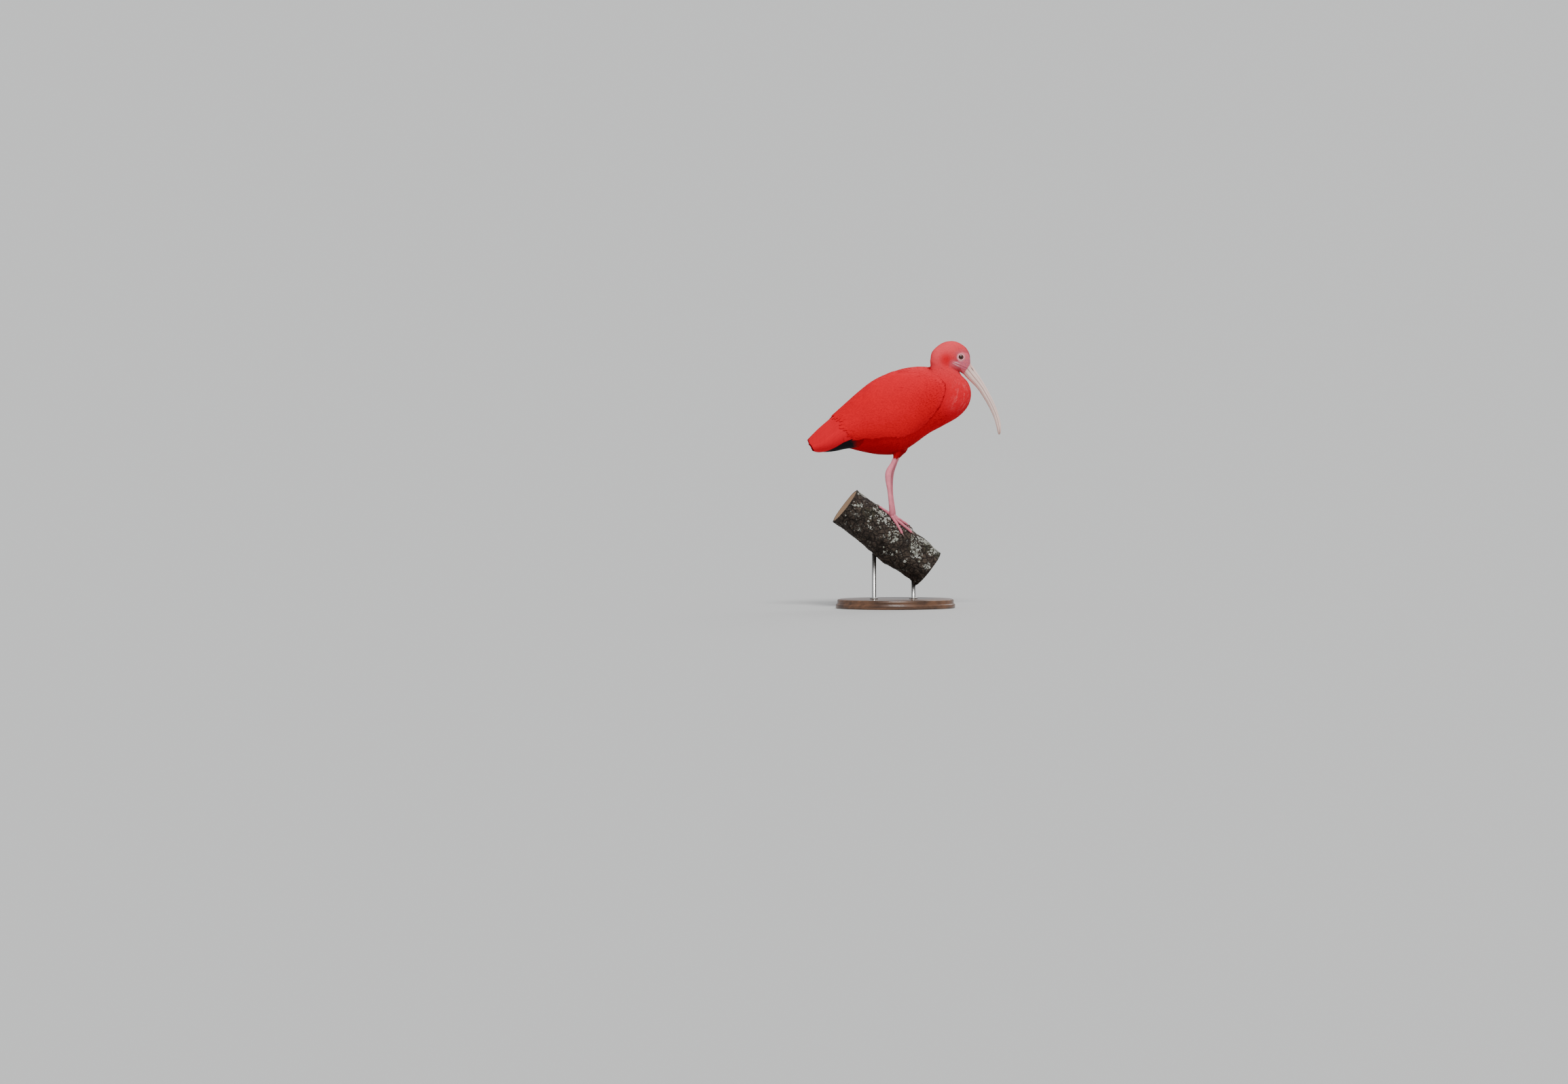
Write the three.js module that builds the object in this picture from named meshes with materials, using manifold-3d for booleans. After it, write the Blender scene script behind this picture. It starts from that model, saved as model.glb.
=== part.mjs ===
// A scarlet ibis, life size, standing on a cut length of sloping branch that a plain display stand holds up.
// Millimetres, +Z up. The bird faces +X and its left side is +Y.
// The stand's origin is the centre of its underside. The bird and the perch are worked out in the bird's own
// frame, whose origin is the point of the branch's crest that the bird stands over.
import * as THREE from "three";
import { mergeVertices } from "three/addons/utils/BufferGeometryUtils.js";
import Module from "manifold-3d";

const wasm = await Module();
wasm.setup();

// Driving dimensions
const GAP = 0.3; // between any two pieces that touch
const STAND_HEIGHT = 166; // underside of the base to the point that the bird stands over
const STAND_AHEAD = -8; // that point's X, from the centre of the base
const BRANCH_RADIUS = 37;
const BRANCH_SLOPE = THREE.MathUtils.degToRad(37); // down towards +X
const BRANCH_UPHILL = 74; // the branch's length from the standing point to its upper cut
const BRANCH_DOWNHILL = 112;
const CLOAK_DEPTH = 6.5; // the folded wing's thickness over the flank
const VANE_THICK = 0.7;
const EYE_RADIUS = 6.4;
const TOE_RADIUS = 3;

// Finishes
const SCARLET = { color: 0xd3121a, roughness: 0.7 };
const CORAL = { color: 0xee4a4c, roughness: 0.7 };
const BILL_PINK = { color: 0xf2cfc4, roughness: 0.4 };
const LEG_PINK = { color: 0xf08a9a, roughness: 0.5 };
const CLAW_GREY = { color: 0x6b4a48, roughness: 0.4 };
const BARK = { color: 0x5a4c43, roughness: 0.95 };
const EYE_BROWN = { color: 0x24100c, roughness: 0.1 };
const STAND_WOOD = { color: 0x3a2c24, roughness: 0.45 };
const STEEL = { color: 0xa8a8a8, roughness: 0.3, metalness: 1 };

// Solids and shapes

/** A closed geometry as a manifold solid, turned outside out if its faces point inwards. */
function solidFrom(geometry) {
  const bare = geometry.index ? geometry.toNonIndexed() : geometry.clone();
  bare.deleteAttribute("normal");
  bare.deleteAttribute("uv");
  const merged = mergeVertices(bare, 1e-4);
  const triVerts = new Uint32Array(merged.index.array);
  const vertProperties = merged.attributes.position.array;
  const make = () => new wasm.Manifold(new wasm.Mesh({ numProp: 3, vertProperties, triVerts }));
  const solid = make();
  if (solid.volume() > 0) return solid;
  for (let i = 0; i < triVerts.length; i += 3) {
    [triVerts[i + 1], triVerts[i + 2]] = [triVerts[i + 2], triVerts[i + 1]];
  }
  return make();
}

/** A manifold solid as a three.js geometry, its largest closed surface only. */
function geometryFrom(solid) {
  const bodies = solid.decompose().sort((a, b) => b.volume() - a.volume());
  const mesh = bodies[0].getMesh();
  const position = new Float32Array(mesh.numVert * 3);
  for (let i = 0; i < mesh.numVert; i++) {
    position.set(mesh.vertProperties.subarray(i * mesh.numProp, i * mesh.numProp + 3), i * 3);
  }
  return new THREE.BufferGeometry()
    .setAttribute("position", new THREE.BufferAttribute(position, 3))
    .setIndex(new THREE.BufferAttribute(new Uint32Array(mesh.triVerts), 1));
}

/** One solid from many, joined. */
function fuse(solids) {
  return solids.reduce((whole, piece) => whole.add(piece));
}

/** A geometry from vertices and triangles of their indices. */
function meshFrom(points, faces) {
  return new THREE.BufferGeometry()
    .setAttribute(
      "position",
      new THREE.Float32BufferAttribute(points.flatMap((p) => [p.x, p.y, p.z]), 3),
    )
    .setIndex(faces.flat());
}

/** A closed solid through rings of equally many points, with a flat fan on each end. */
function loft(rings) {
  const sides = rings[0].length;
  const points = rings.flat();
  const faces = [];
  for (let j = 0; j < rings.length - 1; j++) {
    for (let i = 0; i < sides; i++) {
      const a = j * sides + i;
      const b = j * sides + ((i + 1) % sides);
      faces.push([a, b, b + sides], [a, b + sides, a + sides]);
    }
  }
  const middle = (ring) =>
    ring.reduce((sum, p) => sum.add(p), new THREE.Vector3()).divideScalar(sides);
  const first = points.length;
  points.push(middle(rings[0]), middle(rings.at(-1)));
  const last = (rings.length - 1) * sides;
  for (let i = 0; i < sides; i++) {
    const next = (i + 1) % sides;
    faces.push([first, next, i], [first + 1, last + i, last + next]);
  }
  return solidFrom(meshFrom(points, faces));
}

/** A smooth value at k along a list of values, by a Catmull-Rom curve. */
function smooth(values, k) {
  const last = values.length - 1;
  const at = (i) => values[Math.min(last, Math.max(0, i))];
  const i = Math.min(last - 1, Math.max(0, Math.floor(k)));
  const t = k - i;
  const [a, b, c, d] = [at(i - 1), at(i), at(i + 1), at(i + 2)];
  return (
    b +
    0.5 * t * (c - a + t * (2 * a - 5 * b + 4 * c - d + t * (3 * (b - c) + d - a)))
  );
}

/** A repeatable draw of numbers from 0 to 1. */
function draws(seed) {
  let state = seed;
  return () => {
    state = (state * 1664525 + 1013904223) % 4294967296;
    return state / 4294967296;
  };
}

/** Evenly spaced numbers, ends included. */
function spread(from, to, count) {
  return Array.from({ length: count }, (_, i) => from + ((to - from) * i) / (count - 1));
}

const mix = THREE.MathUtils.lerp;
const ease = (t) => THREE.MathUtils.smoothstep(t, 0, 1);

// The body's skin of small feathers, as ribs

/**
 * One rib: a slanted section through the point on the back or crown and the one on the belly or throat.
 * half is half its width, and low is how far down from the back it is widest, from 0 to 1.
 */
const rib = (backX, backZ, bellyX, bellyZ, half, low = 0.5) => ({
  backX,
  backZ,
  bellyX,
  bellyZ,
  half,
  low,
});

const FLESH = [
  rib(-94, 133, -89, 118.5, 11),
  rib(-80, 157, -76, 117, 23),
  rib(-58, 192, -50, 110.5, 37, 0.52),
  rib(-34, 224, -20, 105.5, 45.5, 0.54),
  rib(-8, 246, 12, 107, 50, 0.54),
  rib(18, 256.5, 38, 122, 51, 0.52),
  rib(44, 260.5, 66, 142, 48.5, 0.5),
  rib(60, 260.5, 92, 156, 44),
  rib(67, 260, 119, 171.5, 38.5),
  rib(69, 260.5, 136, 189.5, 33),
  rib(70, 262, 142.3, 211, 28),
  rib(70, 266, 137, 232, 23),
  rib(70, 273, 121, 249, 19.5),
  rib(74, 288, 122, 250.8, 19),
  rib(92, 302.6, 123.2, 250.5, 18.4),
  rib(113, 305.2, 124.2, 249.8, 17.6),
  rib(131, 296, 125.6, 248.7, 14.6),
  rib(139.6, 282.5, 126.8, 248, 11),
  rib(141.3, 266.5, 128, 247.2, 7.6),
];
const TORSO_END = 10; // the rib where the neck begins
const NECK_END = 12; // the rib where the head begins
const HEAD_END = FLESH.length - 1;

// The folded wings' outer surface, from their tips to the shoulder.
const CLOAK = [
  rib(-153, 131, -139, 107.5, 18, 0.62),
  rib(-132, 152, -121, 107, 26, 0.6),
  rib(-110, 171, -101, 108.5, 32, 0.58),
  rib(-86, 192, -78, 112, 39, 0.57),
  rib(-60, 215, -50, 109.5, 45, 0.56),
  rib(-34, 235, -20, 105.5, 50, 0.54),
  rib(-8, 248, 12, 107, 53, 0.54),
  rib(18, 257, 38, 122, 54, 0.52),
  rib(44, 260.5, 66, 142, 51.5, 0.5),
  rib(60, 260.5, 92, 156, 47),
  rib(67, 260, 119, 171.5, 41.5),
  rib(69, 260.5, 136, 189.5, 36),
];

/** The rib at k, between the listed ones. */
function ribAt(ribs, k) {
  const value = (name) => smooth(ribs.map((r) => r[name]), k);
  return rib(...["backX", "backZ", "bellyX", "bellyZ", "half", "low"].map(value));
}

const FULLNESS = 0.92; // under 1, a section is a little squarer than an ellipse

/** A point of the skin: angle 0 is the back, pi the belly, and positive angles are on the bird's right. */
function ribPoint(ribs, k, angle) {
  const r = ribAt(ribs, k);
  const down = ((1 - Math.cos(angle)) / 2) ** (Math.log(r.low) / Math.log(0.5));
  const out = Math.sign(Math.sin(angle)) * Math.abs(Math.sin(angle)) ** FULLNESS;
  return new THREE.Vector3(
    mix(r.backX, r.bellyX, down),
    -r.half * out,
    mix(r.backZ, r.bellyZ, down),
  );
}

/** The same point, moved out along the skin's normal by grow. */
function skinPoint(ribs, k, angle, grow = 0) {
  const here = ribPoint(ribs, k, angle);
  if (!grow) return here;
  const step = 0.04;
  const along = ribPoint(ribs, k + step, angle).sub(ribPoint(ribs, k - step, angle));
  const around = ribPoint(ribs, k, angle + step).sub(ribPoint(ribs, k, angle - step));
  return here.addScaledVector(around.cross(along).normalize(), grow);
}

/** A closed solid of the skin between two ribs; grow may change with k. */
function skinSolid(ribs, stations, sides, grow = () => 0) {
  const ring = (k) =>
    Array.from({ length: sides }, (_, i) =>
      skinPoint(ribs, k, (2 * Math.PI * i) / sides, grow(k)),
    );
  return loft(stations.map(ring));
}

/** One ring of the skin. */
const skinRing = (k, sides) =>
  Array.from({ length: sides }, (_, i) => ribPoint(FLESH, k, (2 * Math.PI * i) / sides));

/** The flat end of a node at a rib, moved off its neighbour's by the gap. */
function endRing(ribs, k, sides, forward) {
  const r = ribAt(ribs, k);
  const across = new THREE.Vector3(r.backX - r.bellyX, 0, r.backZ - r.bellyZ).normalize();
  const off = new THREE.Vector3(-across.z, 0, across.x).multiplyScalar(-forward);
  return Array.from({ length: sides }, (_, i) =>
    ribPoint(ribs, k, (2 * Math.PI * i) / sides).add(off),
  );
}

/** A limb along a bent path: a closed tube through points, each with its own radius. */
function limb(path, radii, sides, steps, from = 0, to = 1) {
  const last = path.length - 1;
  const centre = (t) =>
    new THREE.Vector3(
      ...["x", "y", "z"].map((axis) => smooth(path.map((p) => p[axis]), t * last)),
    );
  const ring = (t) => {
    const along = centre(Math.min(1, t + 0.01)).sub(centre(Math.max(0, t - 0.01))).normalize();
    const side = new THREE.Vector3(0, 1, 0).cross(along).normalize();
    const up = along.clone().cross(side);
    const radius = smooth(radii, t * last);
    return Array.from({ length: sides }, (_, i) => {
      const turn = (2 * Math.PI * i) / sides;
      return centre(t)
        .addScaledVector(side, radius * Math.cos(turn))
        .addScaledVector(up, radius * Math.sin(turn));
    });
  };
  return loft(spread(from, to, steps).map(ring));
}

// A feather's stations along its length, from root to tip, and its share of the full width at each
const LONG_VANE = { stations: [0, 0.3, 0.6, 0.87, 1], shape: [0.5, 0.9, 1, 0.86, 0.25] };
const SHORT_VANE = { stations: [0, 0.45, 0.82, 1], shape: [0.6, 1, 0.92, 0.3] };

/**
 * One feather's vane: place(q, across, height) gives its points, q from 0 at the root to 1 at the tip.
 * Both faces are split into triangles alike.
 */
function vane(place, width, tilt, { stations, shape }) {
  const points = stations.flatMap((q, j) => {
    const half = (width / 2) * shape[j];
    const face = (above) =>
      [-half, 0, half].map((across) => place(q, across, tilt * across + above));
    return [...face(VANE_THICK / 2), ...face(-VANE_THICK / 2)];
  });
  const faces = [];
  const end = points.length - 6;
  for (let a = 0; a < end; a += 6) {
    const b = a + 6;
    for (const [p, q] of [[0, 1], [1, 2]]) faces.push([a + p, a + q, b + q], [a + p, b + q, b + p]);
    for (const [p, q] of [[3, 4], [4, 5]]) faces.push([a + p, b + q, a + q], [a + p, b + p, b + q]);
    faces.push([a + 2, a + 5, b + 5], [a + 2, b + 5, b + 2], [a + 3, a, b], [a + 3, b, b + 3]);
  }
  faces.push([0, 3, 4], [0, 4, 1], [1, 4, 5], [1, 5, 2]);
  faces.push([end, end + 1, end + 4], [end, end + 4, end + 3]);
  faces.push([end + 1, end + 2, end + 5], [end + 1, end + 5, end + 4]);
  return solidFrom(meshFrom(points, faces));
}

/** An outline of XZ points, extruded across from y = near to y = far on the bird's right. */
function prism(outline, near, far) {
  const shape = new THREE.Shape(outline.map(([x, z]) => new THREE.Vector2(x, z)));
  const geometry = new THREE.ExtrudeGeometry(shape, { depth: far - near, bevelEnabled: false });
  return solidFrom(geometry.rotateX(Math.PI / 2).translate(0, -near, 0));
}

/** A closed outline moved outwards by a distance. */
function outset(outline, distance) {
  const n = outline.length;
  return outline.map(([x, z], i) => {
    const [px, pz] = outline[(i + n - 1) % n];
    const [nx, nz] = outline[(i + 1) % n];
    const length = Math.hypot(nx - px, nz - pz);
    return [x + ((nz - pz) / length) * distance, z - ((nx - px) / length) * distance];
  });
}

// The folded wings

const WING_INNER = 0.35; // each wing stops this far from the bird's middle plane
const WING_OUTER = 90; // beyond the wing, sideways

/** The arm's side outline: wrist, leading edge and lower edge, then the cut behind it, anticlockwise. */
function armOutline() {
  const edge = new THREE.SplineCurve(
    [
      [-48, 135.5],
      [-24, 137.5],
      [4, 139.5],
      [28, 143.5],
      [48, 152],
      [64, 165],
      [78, 183],
      [89, 203],
      [94.5, 222],
      [93, 237],
      [84, 249],
    ].map(([x, z]) => new THREE.Vector2(x, z)),
  );
  const upper = [
    [62, 250],
    [38, 251.5],
    [14, 252.5],
    [14, 280],
  ];
  return [...edge.getPoints(22).map((p) => [p.x, p.y]), ...upper];
}

const ARM_BACK = [
  [-74, 280],
  [-74, 226],
];
const FEATHERS_BACK = [
  [-175, 280],
  [-175, 100],
  [-80, 100],
  [-68, 118],
  [-58, 128.5],
];

const CLOAK_RIBS = spread(0, CLOAK.length - 1, 111);
const CLOAK_LENGTHS = CLOAK_RIBS.map((k) => ribAt(CLOAK, k)).reduce((sums, r, i, all) => {
  if (!i) return [0];
  const p = all[i - 1];
  const step = Math.hypot(r.backX + r.bellyX - p.backX - p.bellyX, r.backZ + r.bellyZ - p.backZ - p.bellyZ);
  return [...sums, sums[i - 1] + step / 2];
}, []);

/** The cloak's rib number at a distance from the wing tips. */
function ribAtLength(s) {
  const i = Math.max(1, CLOAK_LENGTHS.findIndex((length) => length >= s));
  const [a, b] = [CLOAK_LENGTHS[i - 1], CLOAK_LENGTHS[i]];
  return mix(CLOAK_RIBS[i - 1], CLOAK_RIBS[i], (s - a) / (b - a));
}

const ARM_HEIGHT = -0.8; // the arm's surface under its smallest coverts
const BED_HEIGHT = -3.4; // the bed that the larger feathers lie on
const ARM_SHIFT = [150, 195]; // from bed to arm, as lengths from the tips
const ROOT_HEIGHT = -4.9; // where a quill is sunk in the bed

const armHeight = (s) => mix(BED_HEIGHT, ARM_HEIGHT, THREE.MathUtils.smoothstep(s, ...ARM_SHIFT));

/** A feather of the folded wing, from its root to its tip, each as a length from the wing tips and an angle. */
function wingFeather({ root, tip, width, height, tilt, sink = 0.3, form = SHORT_VANE }) {
  const place = (q, across, above) => {
    const k = ribAtLength(mix(root[0], tip[0], q));
    const angle = mix(root[1], tip[1], q);
    const step = 0.05;
    const rate =
      ribPoint(CLOAK, k, angle + step).distanceTo(ribPoint(CLOAK, k, angle - step)) / (2 * step);
    const rise = mix(ROOT_HEIGHT, height, ease(q / sink));
    const point = skinPoint(CLOAK, k, angle + across / rate, rise + above);
    point.y = Math.min(point.y, -WING_INNER);
    return point;
  };
  return vane(place, width, tilt, form);
}

/** One tier of feathers, from the innermost, near the back, to the outermost, at the wing's lower edge. */
function tier(count, draw, describe) {
  return spread(0, 1, count).map((t) => {
    const feather = describe(t);
    feather.tip[0] += 3 * (draw() - 0.5);
    feather.tip[1] += 0.03 * (draw() - 0.5);
    return wingFeather(feather);
  });
}

/** The folded wing on the bird's right. */
function rightWing(draw) {
  const outline = [...armOutline(), ...ARM_BACK];
  const outer = skinSolid(CLOAK, ARM_RIBS, ARM_SIDES, (k) => armHeight(CLOAK_LENGTHS[Math.round(k * 10)]));
  const inner = skinSolid(CLOAK, ARM_RIBS, ARM_SIDES, () => -CLOAK_DEPTH);
  const arm = prism(outline, WING_INNER, WING_OUTER).intersect(outer).subtract(inner);
  const primaries = tier(4, draw, (t) => ({
    root: [142, mix(1.45, 1.85, t)],
    tip: [mix(9, 30, t), mix(1.85, 2.72, t)],
    width: 16,
    height: -5.1,
    tilt: 0.05,
    form: LONG_VANE,
  }));
  const secondaries = tier(7, draw, (t) => ({
    root: [mix(168, 148, t), mix(0.22, 1.78, t)],
    tip: [3 + 58 * Math.max(0, (t - 0.3) / 0.7) ** 0.9, mix(0.42, 1.75, Math.min(1, t / 0.42) ** 0.8)],
    width: 25,
    height: -3,
    tilt: 0.075,
    form: LONG_VANE,
  }));
  const greaterCoverts = tier(7, draw, (t) => ({
    root: [mix(190, 172, t), mix(0.25, 1.83, t)],
    tip: [mix(120, 98, t), mix(0.22, 1.8, t)],
    width: 23,
    height: -1,
    tilt: 0.075,
  }));
  const medianCoverts = tier(6, draw, (t) => ({
    root: [mix(206, 190, t), mix(0.45, 1.8, t)],
    tip: [mix(158, 140, t), mix(0.42, 1.82, t)],
    width: 24,
    height: 0.3,
    tilt: 0.06,
  }));
  const scapulars = tier(3, draw, (t) => ({
    root: [mix(198, 204, t), mix(0.14, 0.56, t)],
    tip: [mix(112, 130, t), mix(0.17, 0.6, t)],
    width: 24,
    height: 0.9,
    tilt: 0.05,
  }));
  const feathers = [...primaries, ...secondaries, ...greaterCoverts, ...medianCoverts, ...scapulars];
  const bounds = prism([...armOutline(), ...FEATHERS_BACK], WING_INNER, WING_OUTER).subtract(inner);
  return fuse([arm, ...feathers]).intersect(bounds);
}

const ARM_SIDES = 26;
const ARM_RIBS = spread(2.8, 11, 13).map((k) => Math.round(k * 10) / 10);
const SKIN_SIDES = 24;

// The branch

const BRANCH_ALONG = new THREE.Vector3(Math.cos(BRANCH_SLOPE), 0, -Math.sin(BRANCH_SLOPE));
const BRANCH_UP = new THREE.Vector3(Math.sin(BRANCH_SLOPE), 0, Math.cos(BRANCH_SLOPE));

/** The branch's radius at a length down its slope and an angle from its crest, positive to the bird's left. */
function barkRadius(along, turn) {
  const swell = 1.3 * Math.sin(along / 23 + 0.6) + 0.9 * Math.sin(2 * turn + along / 31);
  const lump = 0.7 * Math.sin(3 * turn - along / 14 + 1.1) + 0.5 * Math.sin(5 * turn + along / 9);
  return BRANCH_RADIUS + swell + lump;
}

/** A point on the bark, or above it by rise. */
function barkPoint(along, turn, rise = 0) {
  const out = barkRadius(along, turn) + rise;
  return new THREE.Vector3()
    .addScaledVector(BRANCH_ALONG, along)
    .addScaledVector(BRANCH_UP, out * Math.cos(turn) - BRANCH_RADIUS)
    .add(new THREE.Vector3(0, out * Math.sin(turn), 0));
}

/** The whole branch, grown by rise all round. */
function branch(rise = 0) {
  const sides = 24;
  return loft(
    spread(-BRANCH_UPHILL - rise, BRANCH_DOWNHILL + rise, 13).map((along) =>
      Array.from({ length: sides }, (_, i) => barkPoint(along, (2 * Math.PI * i) / sides, rise)),
    ),
  );
}

// Legs and feet, on one side: 1 is the bird's left, -1 its right

const FOOT_TURN = 0.45; // from the branch's crest round to each foot
const LEG = {
  left: { side: 1, standsAhead: 4, heel: [1.5, 17.5, 68] },
  right: { side: -1, standsAhead: -3, heel: [-7, 17.5, 71] },
};
const TOES = [
  { name: "hallux", length: 24, splay: 180, radius: 0.85 },
  { name: "inner", length: 38, splay: 12, radius: 0.92 },
  { name: "middle", length: 50, splay: -9, radius: 1 },
  { name: "outer", length: 42, splay: -31, radius: 0.95 },
];
const CLAW_LENGTH = 8;

/** A leg's path from inside the thigh down to the ankle, and the foot under it. */
function legPath({ side, standsAhead, heel }) {
  const ankle = barkPoint(standsAhead, side * FOOT_TURN, 7.5);
  return [
    new THREE.Vector3(heel[0] + 20, side * 21, 118),
    new THREE.Vector3(heel[0] + 9, side * 19.5, 92),
    new THREE.Vector3(heel[0], side * heel[1], heel[2]),
    new THREE.Vector3(mix(heel[0], ankle.x, 0.5) - 0.8, mix(side * heel[1], ankle.y, 0.5), mix(heel[2], ankle.z, 0.5)),
    ankle,
    barkPoint(standsAhead + 1, side * FOOT_TURN, 3.2),
  ];
}

/** A toe's centre line: at q from the foot, 0, to the toe's end, 1, and on past it for the claw. */
function toePoint({ side, standsAhead }, toe, q, rise) {
  const splay = THREE.MathUtils.degToRad(toe.splay);
  const reach = toe.length * q;
  const turn = side * (FOOT_TURN - (reach * Math.sin(splay)) / BRANCH_RADIUS);
  return barkPoint(standsAhead + reach * Math.cos(splay), turn, rise);
}

/** One toe, with a swelling at each joint. */
function toeSolid(leg, toe) {
  const stations = spread(0, 1, 7);
  const radius = (i) => TOE_RADIUS * toe.radius * (1 - 0.3 * stations[i]) * (i % 2 ? 1.06 : 0.92);
  return limb(
    stations.map((q, i) => toePoint(leg, toe, q, radius(i) + GAP)),
    stations.map((_, i) => radius(i)),
    6,
    8,
  );
}

/** The claw at a toe's end: a short horn that curves down to the bark. */
function clawSolid(leg, toe) {
  const start = 1 + (2.5 * GAP) / toe.length;
  const end = start + CLAW_LENGTH / toe.length;
  const rises = [2.2, 3, 0.9];
  return limb(
    rises.map((rise, i) => toePoint(leg, toe, mix(start, end, i / 2), rise)),
    [1.6, 1.3, 0.35],
    7,
    4,
  );
}

/** A foot: four toes joined under the ankle, on the bark. */
function foot(leg) {
  const ankle = limb(legPath(leg), LEG_RADII, 10, 5, ANKLE_CUT + CUT_GAP, 1);
  return fuse([ankle, ...TOES.map((toe) => toeSolid(leg, toe))]);
}

const LEG_RADII = [4.6, 3.7, 5, 2.9, 4.2, 3.6];
const THIGH_CUT = 0.14; // the cuts, as shares of the leg's path
const HEEL_CUT = 0.35;
const ANKLE_CUT = 0.76;
const CUT_GAP = 0.0026; // the gap at a cut, as a share of the path

/** The feathered thigh, below the belly. */
function thigh(leg, torsoGrown) {
  const [inside, knee, heel] = legPath(leg);
  const low = knee.clone().lerp(inside, 0.36);
  const path = [inside, inside.clone().lerp(low, 0.55), low];
  return limb(path, [12, 9, 5.4], 12, 6).subtract(torsoGrown);
}

/** The bare end of the tibia, down to the heel. */
const tibia = (leg) => limb(legPath(leg), LEG_RADII, 10, 6, THIGH_CUT + CUT_GAP, HEEL_CUT);

/** The heel and the tarsus below it. */
const tarsus = (leg) => limb(legPath(leg), LEG_RADII, 10, 13, HEEL_CUT + CUT_GAP, ANKLE_CUT);

// The head

const EYE_AT = [122.6, 11.4, 277.6]; // the eye's centre, on the bird's left
const LID_RING = 5.1;
const LID_THICK = 1.15;
const MOUTH = { corner: [108.5, 268.2], front: [133, 257.4], depth: 1.5, height: 0.7 };

/** Both eyes' sockets or balls: a pair of spheres. */
function eyeball(side, radius) {
  const ball = new THREE.SphereGeometry(radius, 12, 8);
  return solidFrom(ball.translate(EYE_AT[0], side * EYE_AT[1], EYE_AT[2]));
}

/** The ring of the lids round one eye, facing out and a little forward. */
function lids(side) {
  const ring = new THREE.TorusGeometry(LID_RING, LID_THICK, 5, 14)
    .rotateX(Math.PI / 2)
    .rotateZ(-side * 0.12)
    .translate(EYE_AT[0] + 0.5, side * (EYE_AT[1] + 4.3), EYE_AT[2]);
  return solidFrom(ring);
}

/** The mouth's line where it runs back into the cheeks: a thin plate, less all but the skin. */
function mouthLine() {
  const [x0, z0] = MOUTH.corner;
  const [x1, z1] = MOUTH.front;
  const plate = new THREE.BoxGeometry(Math.hypot(x1 - x0, z1 - z0), 60, MOUTH.height)
    .rotateY(Math.atan2(z0 - z1, x1 - x0))
    .translate((x0 + x1) / 2, 0, (z0 + z1) / 2);
  const inside = skinSolid(FLESH, spread(NECK_END, HEAD_END, 14), SKIN_SIDES, () => -MOUTH.depth);
  return solidFrom(plate).subtract(inside);
}

function head() {
  const rings = spread(NECK_END, HEAD_END, 16)
    .slice(1)
    .map((k) => skinRing(k, 24));
  const skull = loft([endRing(FLESH, NECK_END, 24, GAP), ...rings]);
  const sockets = fuse([-1, 1].map((side) => eyeball(side, EYE_RADIUS + GAP)));
  return fuse([skull, lids(-1), lids(1)]).subtract(sockets).subtract(mouthLine());
}

// The bill: the culmen along its top, the keel along its underside, and the mouth's line half way between

const billRib = (topX, topZ, keelX, keelZ, half) => ({ topX, topZ, keelX, keelZ, half });
const BILL = [
  billRib(141.3, 266.3, 128.2, 247.5, 7.3),
  billRib(153.8, 248.8, 138, 237, 6.3),
  billRib(165.5, 230.5, 152.8, 222.3, 5.3),
  billRib(176, 211.5, 164.2, 205.6, 4.5),
  billRib(185, 192.8, 174.3, 188.2, 3.9),
  billRib(191.8, 174.3, 182.4, 170.9, 3.5),
  billRib(195.6, 156, 187.5, 154.3, 3.3),
  billRib(195.6, 146, 189.4, 145.2, 2.9),
  billRib(194, 140.3, 191.3, 140, 1.3),
];
const NOSTRIL = { x: 147.6, z: 252, length: 7, height: 1.5, depth: 2.2 };

/** Half of the bill: way is 1 for the upper mandible and -1 for the lower. */
function mandible(way) {
  const arc = spread(0, Math.PI, 9);
  const stations = spread(0, BILL.length - 1, 19);
  const value = (name, k) => smooth(BILL.map((r) => r[name]), k);
  const rings = stations.map((k) => {
    const top = new THREE.Vector3(value("topX", k), 0, value("topZ", k));
    const keel = new THREE.Vector3(value("keelX", k), 0, value("keelZ", k));
    const depth = top.distanceTo(keel) / 2;
    const up = top.clone().sub(keel).normalize();
    const forward = new THREE.Vector3(up.z, 0, -up.x);
    const seam = top.clone().add(keel).multiplyScalar(0.5);
    return arc.map((turn) =>
      seam
        .clone()
        .addScaledVector(up, way * (GAP / 2 + (depth - GAP / 2) * Math.sin(turn) ** 0.85))
        .addScaledVector(forward, k ? 0 : GAP)
        .add(new THREE.Vector3(0, value("half", k) * Math.cos(turn), 0)),
    );
  });
  return loft(rings);
}

/** The upper mandible, with its two slit nostrils. */
function upperMandible() {
  const slit = (side) => {
    const geometry = new THREE.SphereGeometry(0.5, 8, 6)
      .scale(NOSTRIL.length, NOSTRIL.depth, NOSTRIL.height)
      .rotateY(Math.PI * 0.31)
      .translate(NOSTRIL.x, side * 5.6, NOSTRIL.z);
    return solidFrom(geometry);
  };
  return mandible(1).subtract(slit(-1)).subtract(slit(1));
}

// The tail

const TAIL = { rootX: -94, rootZ: 124.6, endX: -141, endZ: 118, feathers: 12, fan: 2.8, width: 7 };

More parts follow.
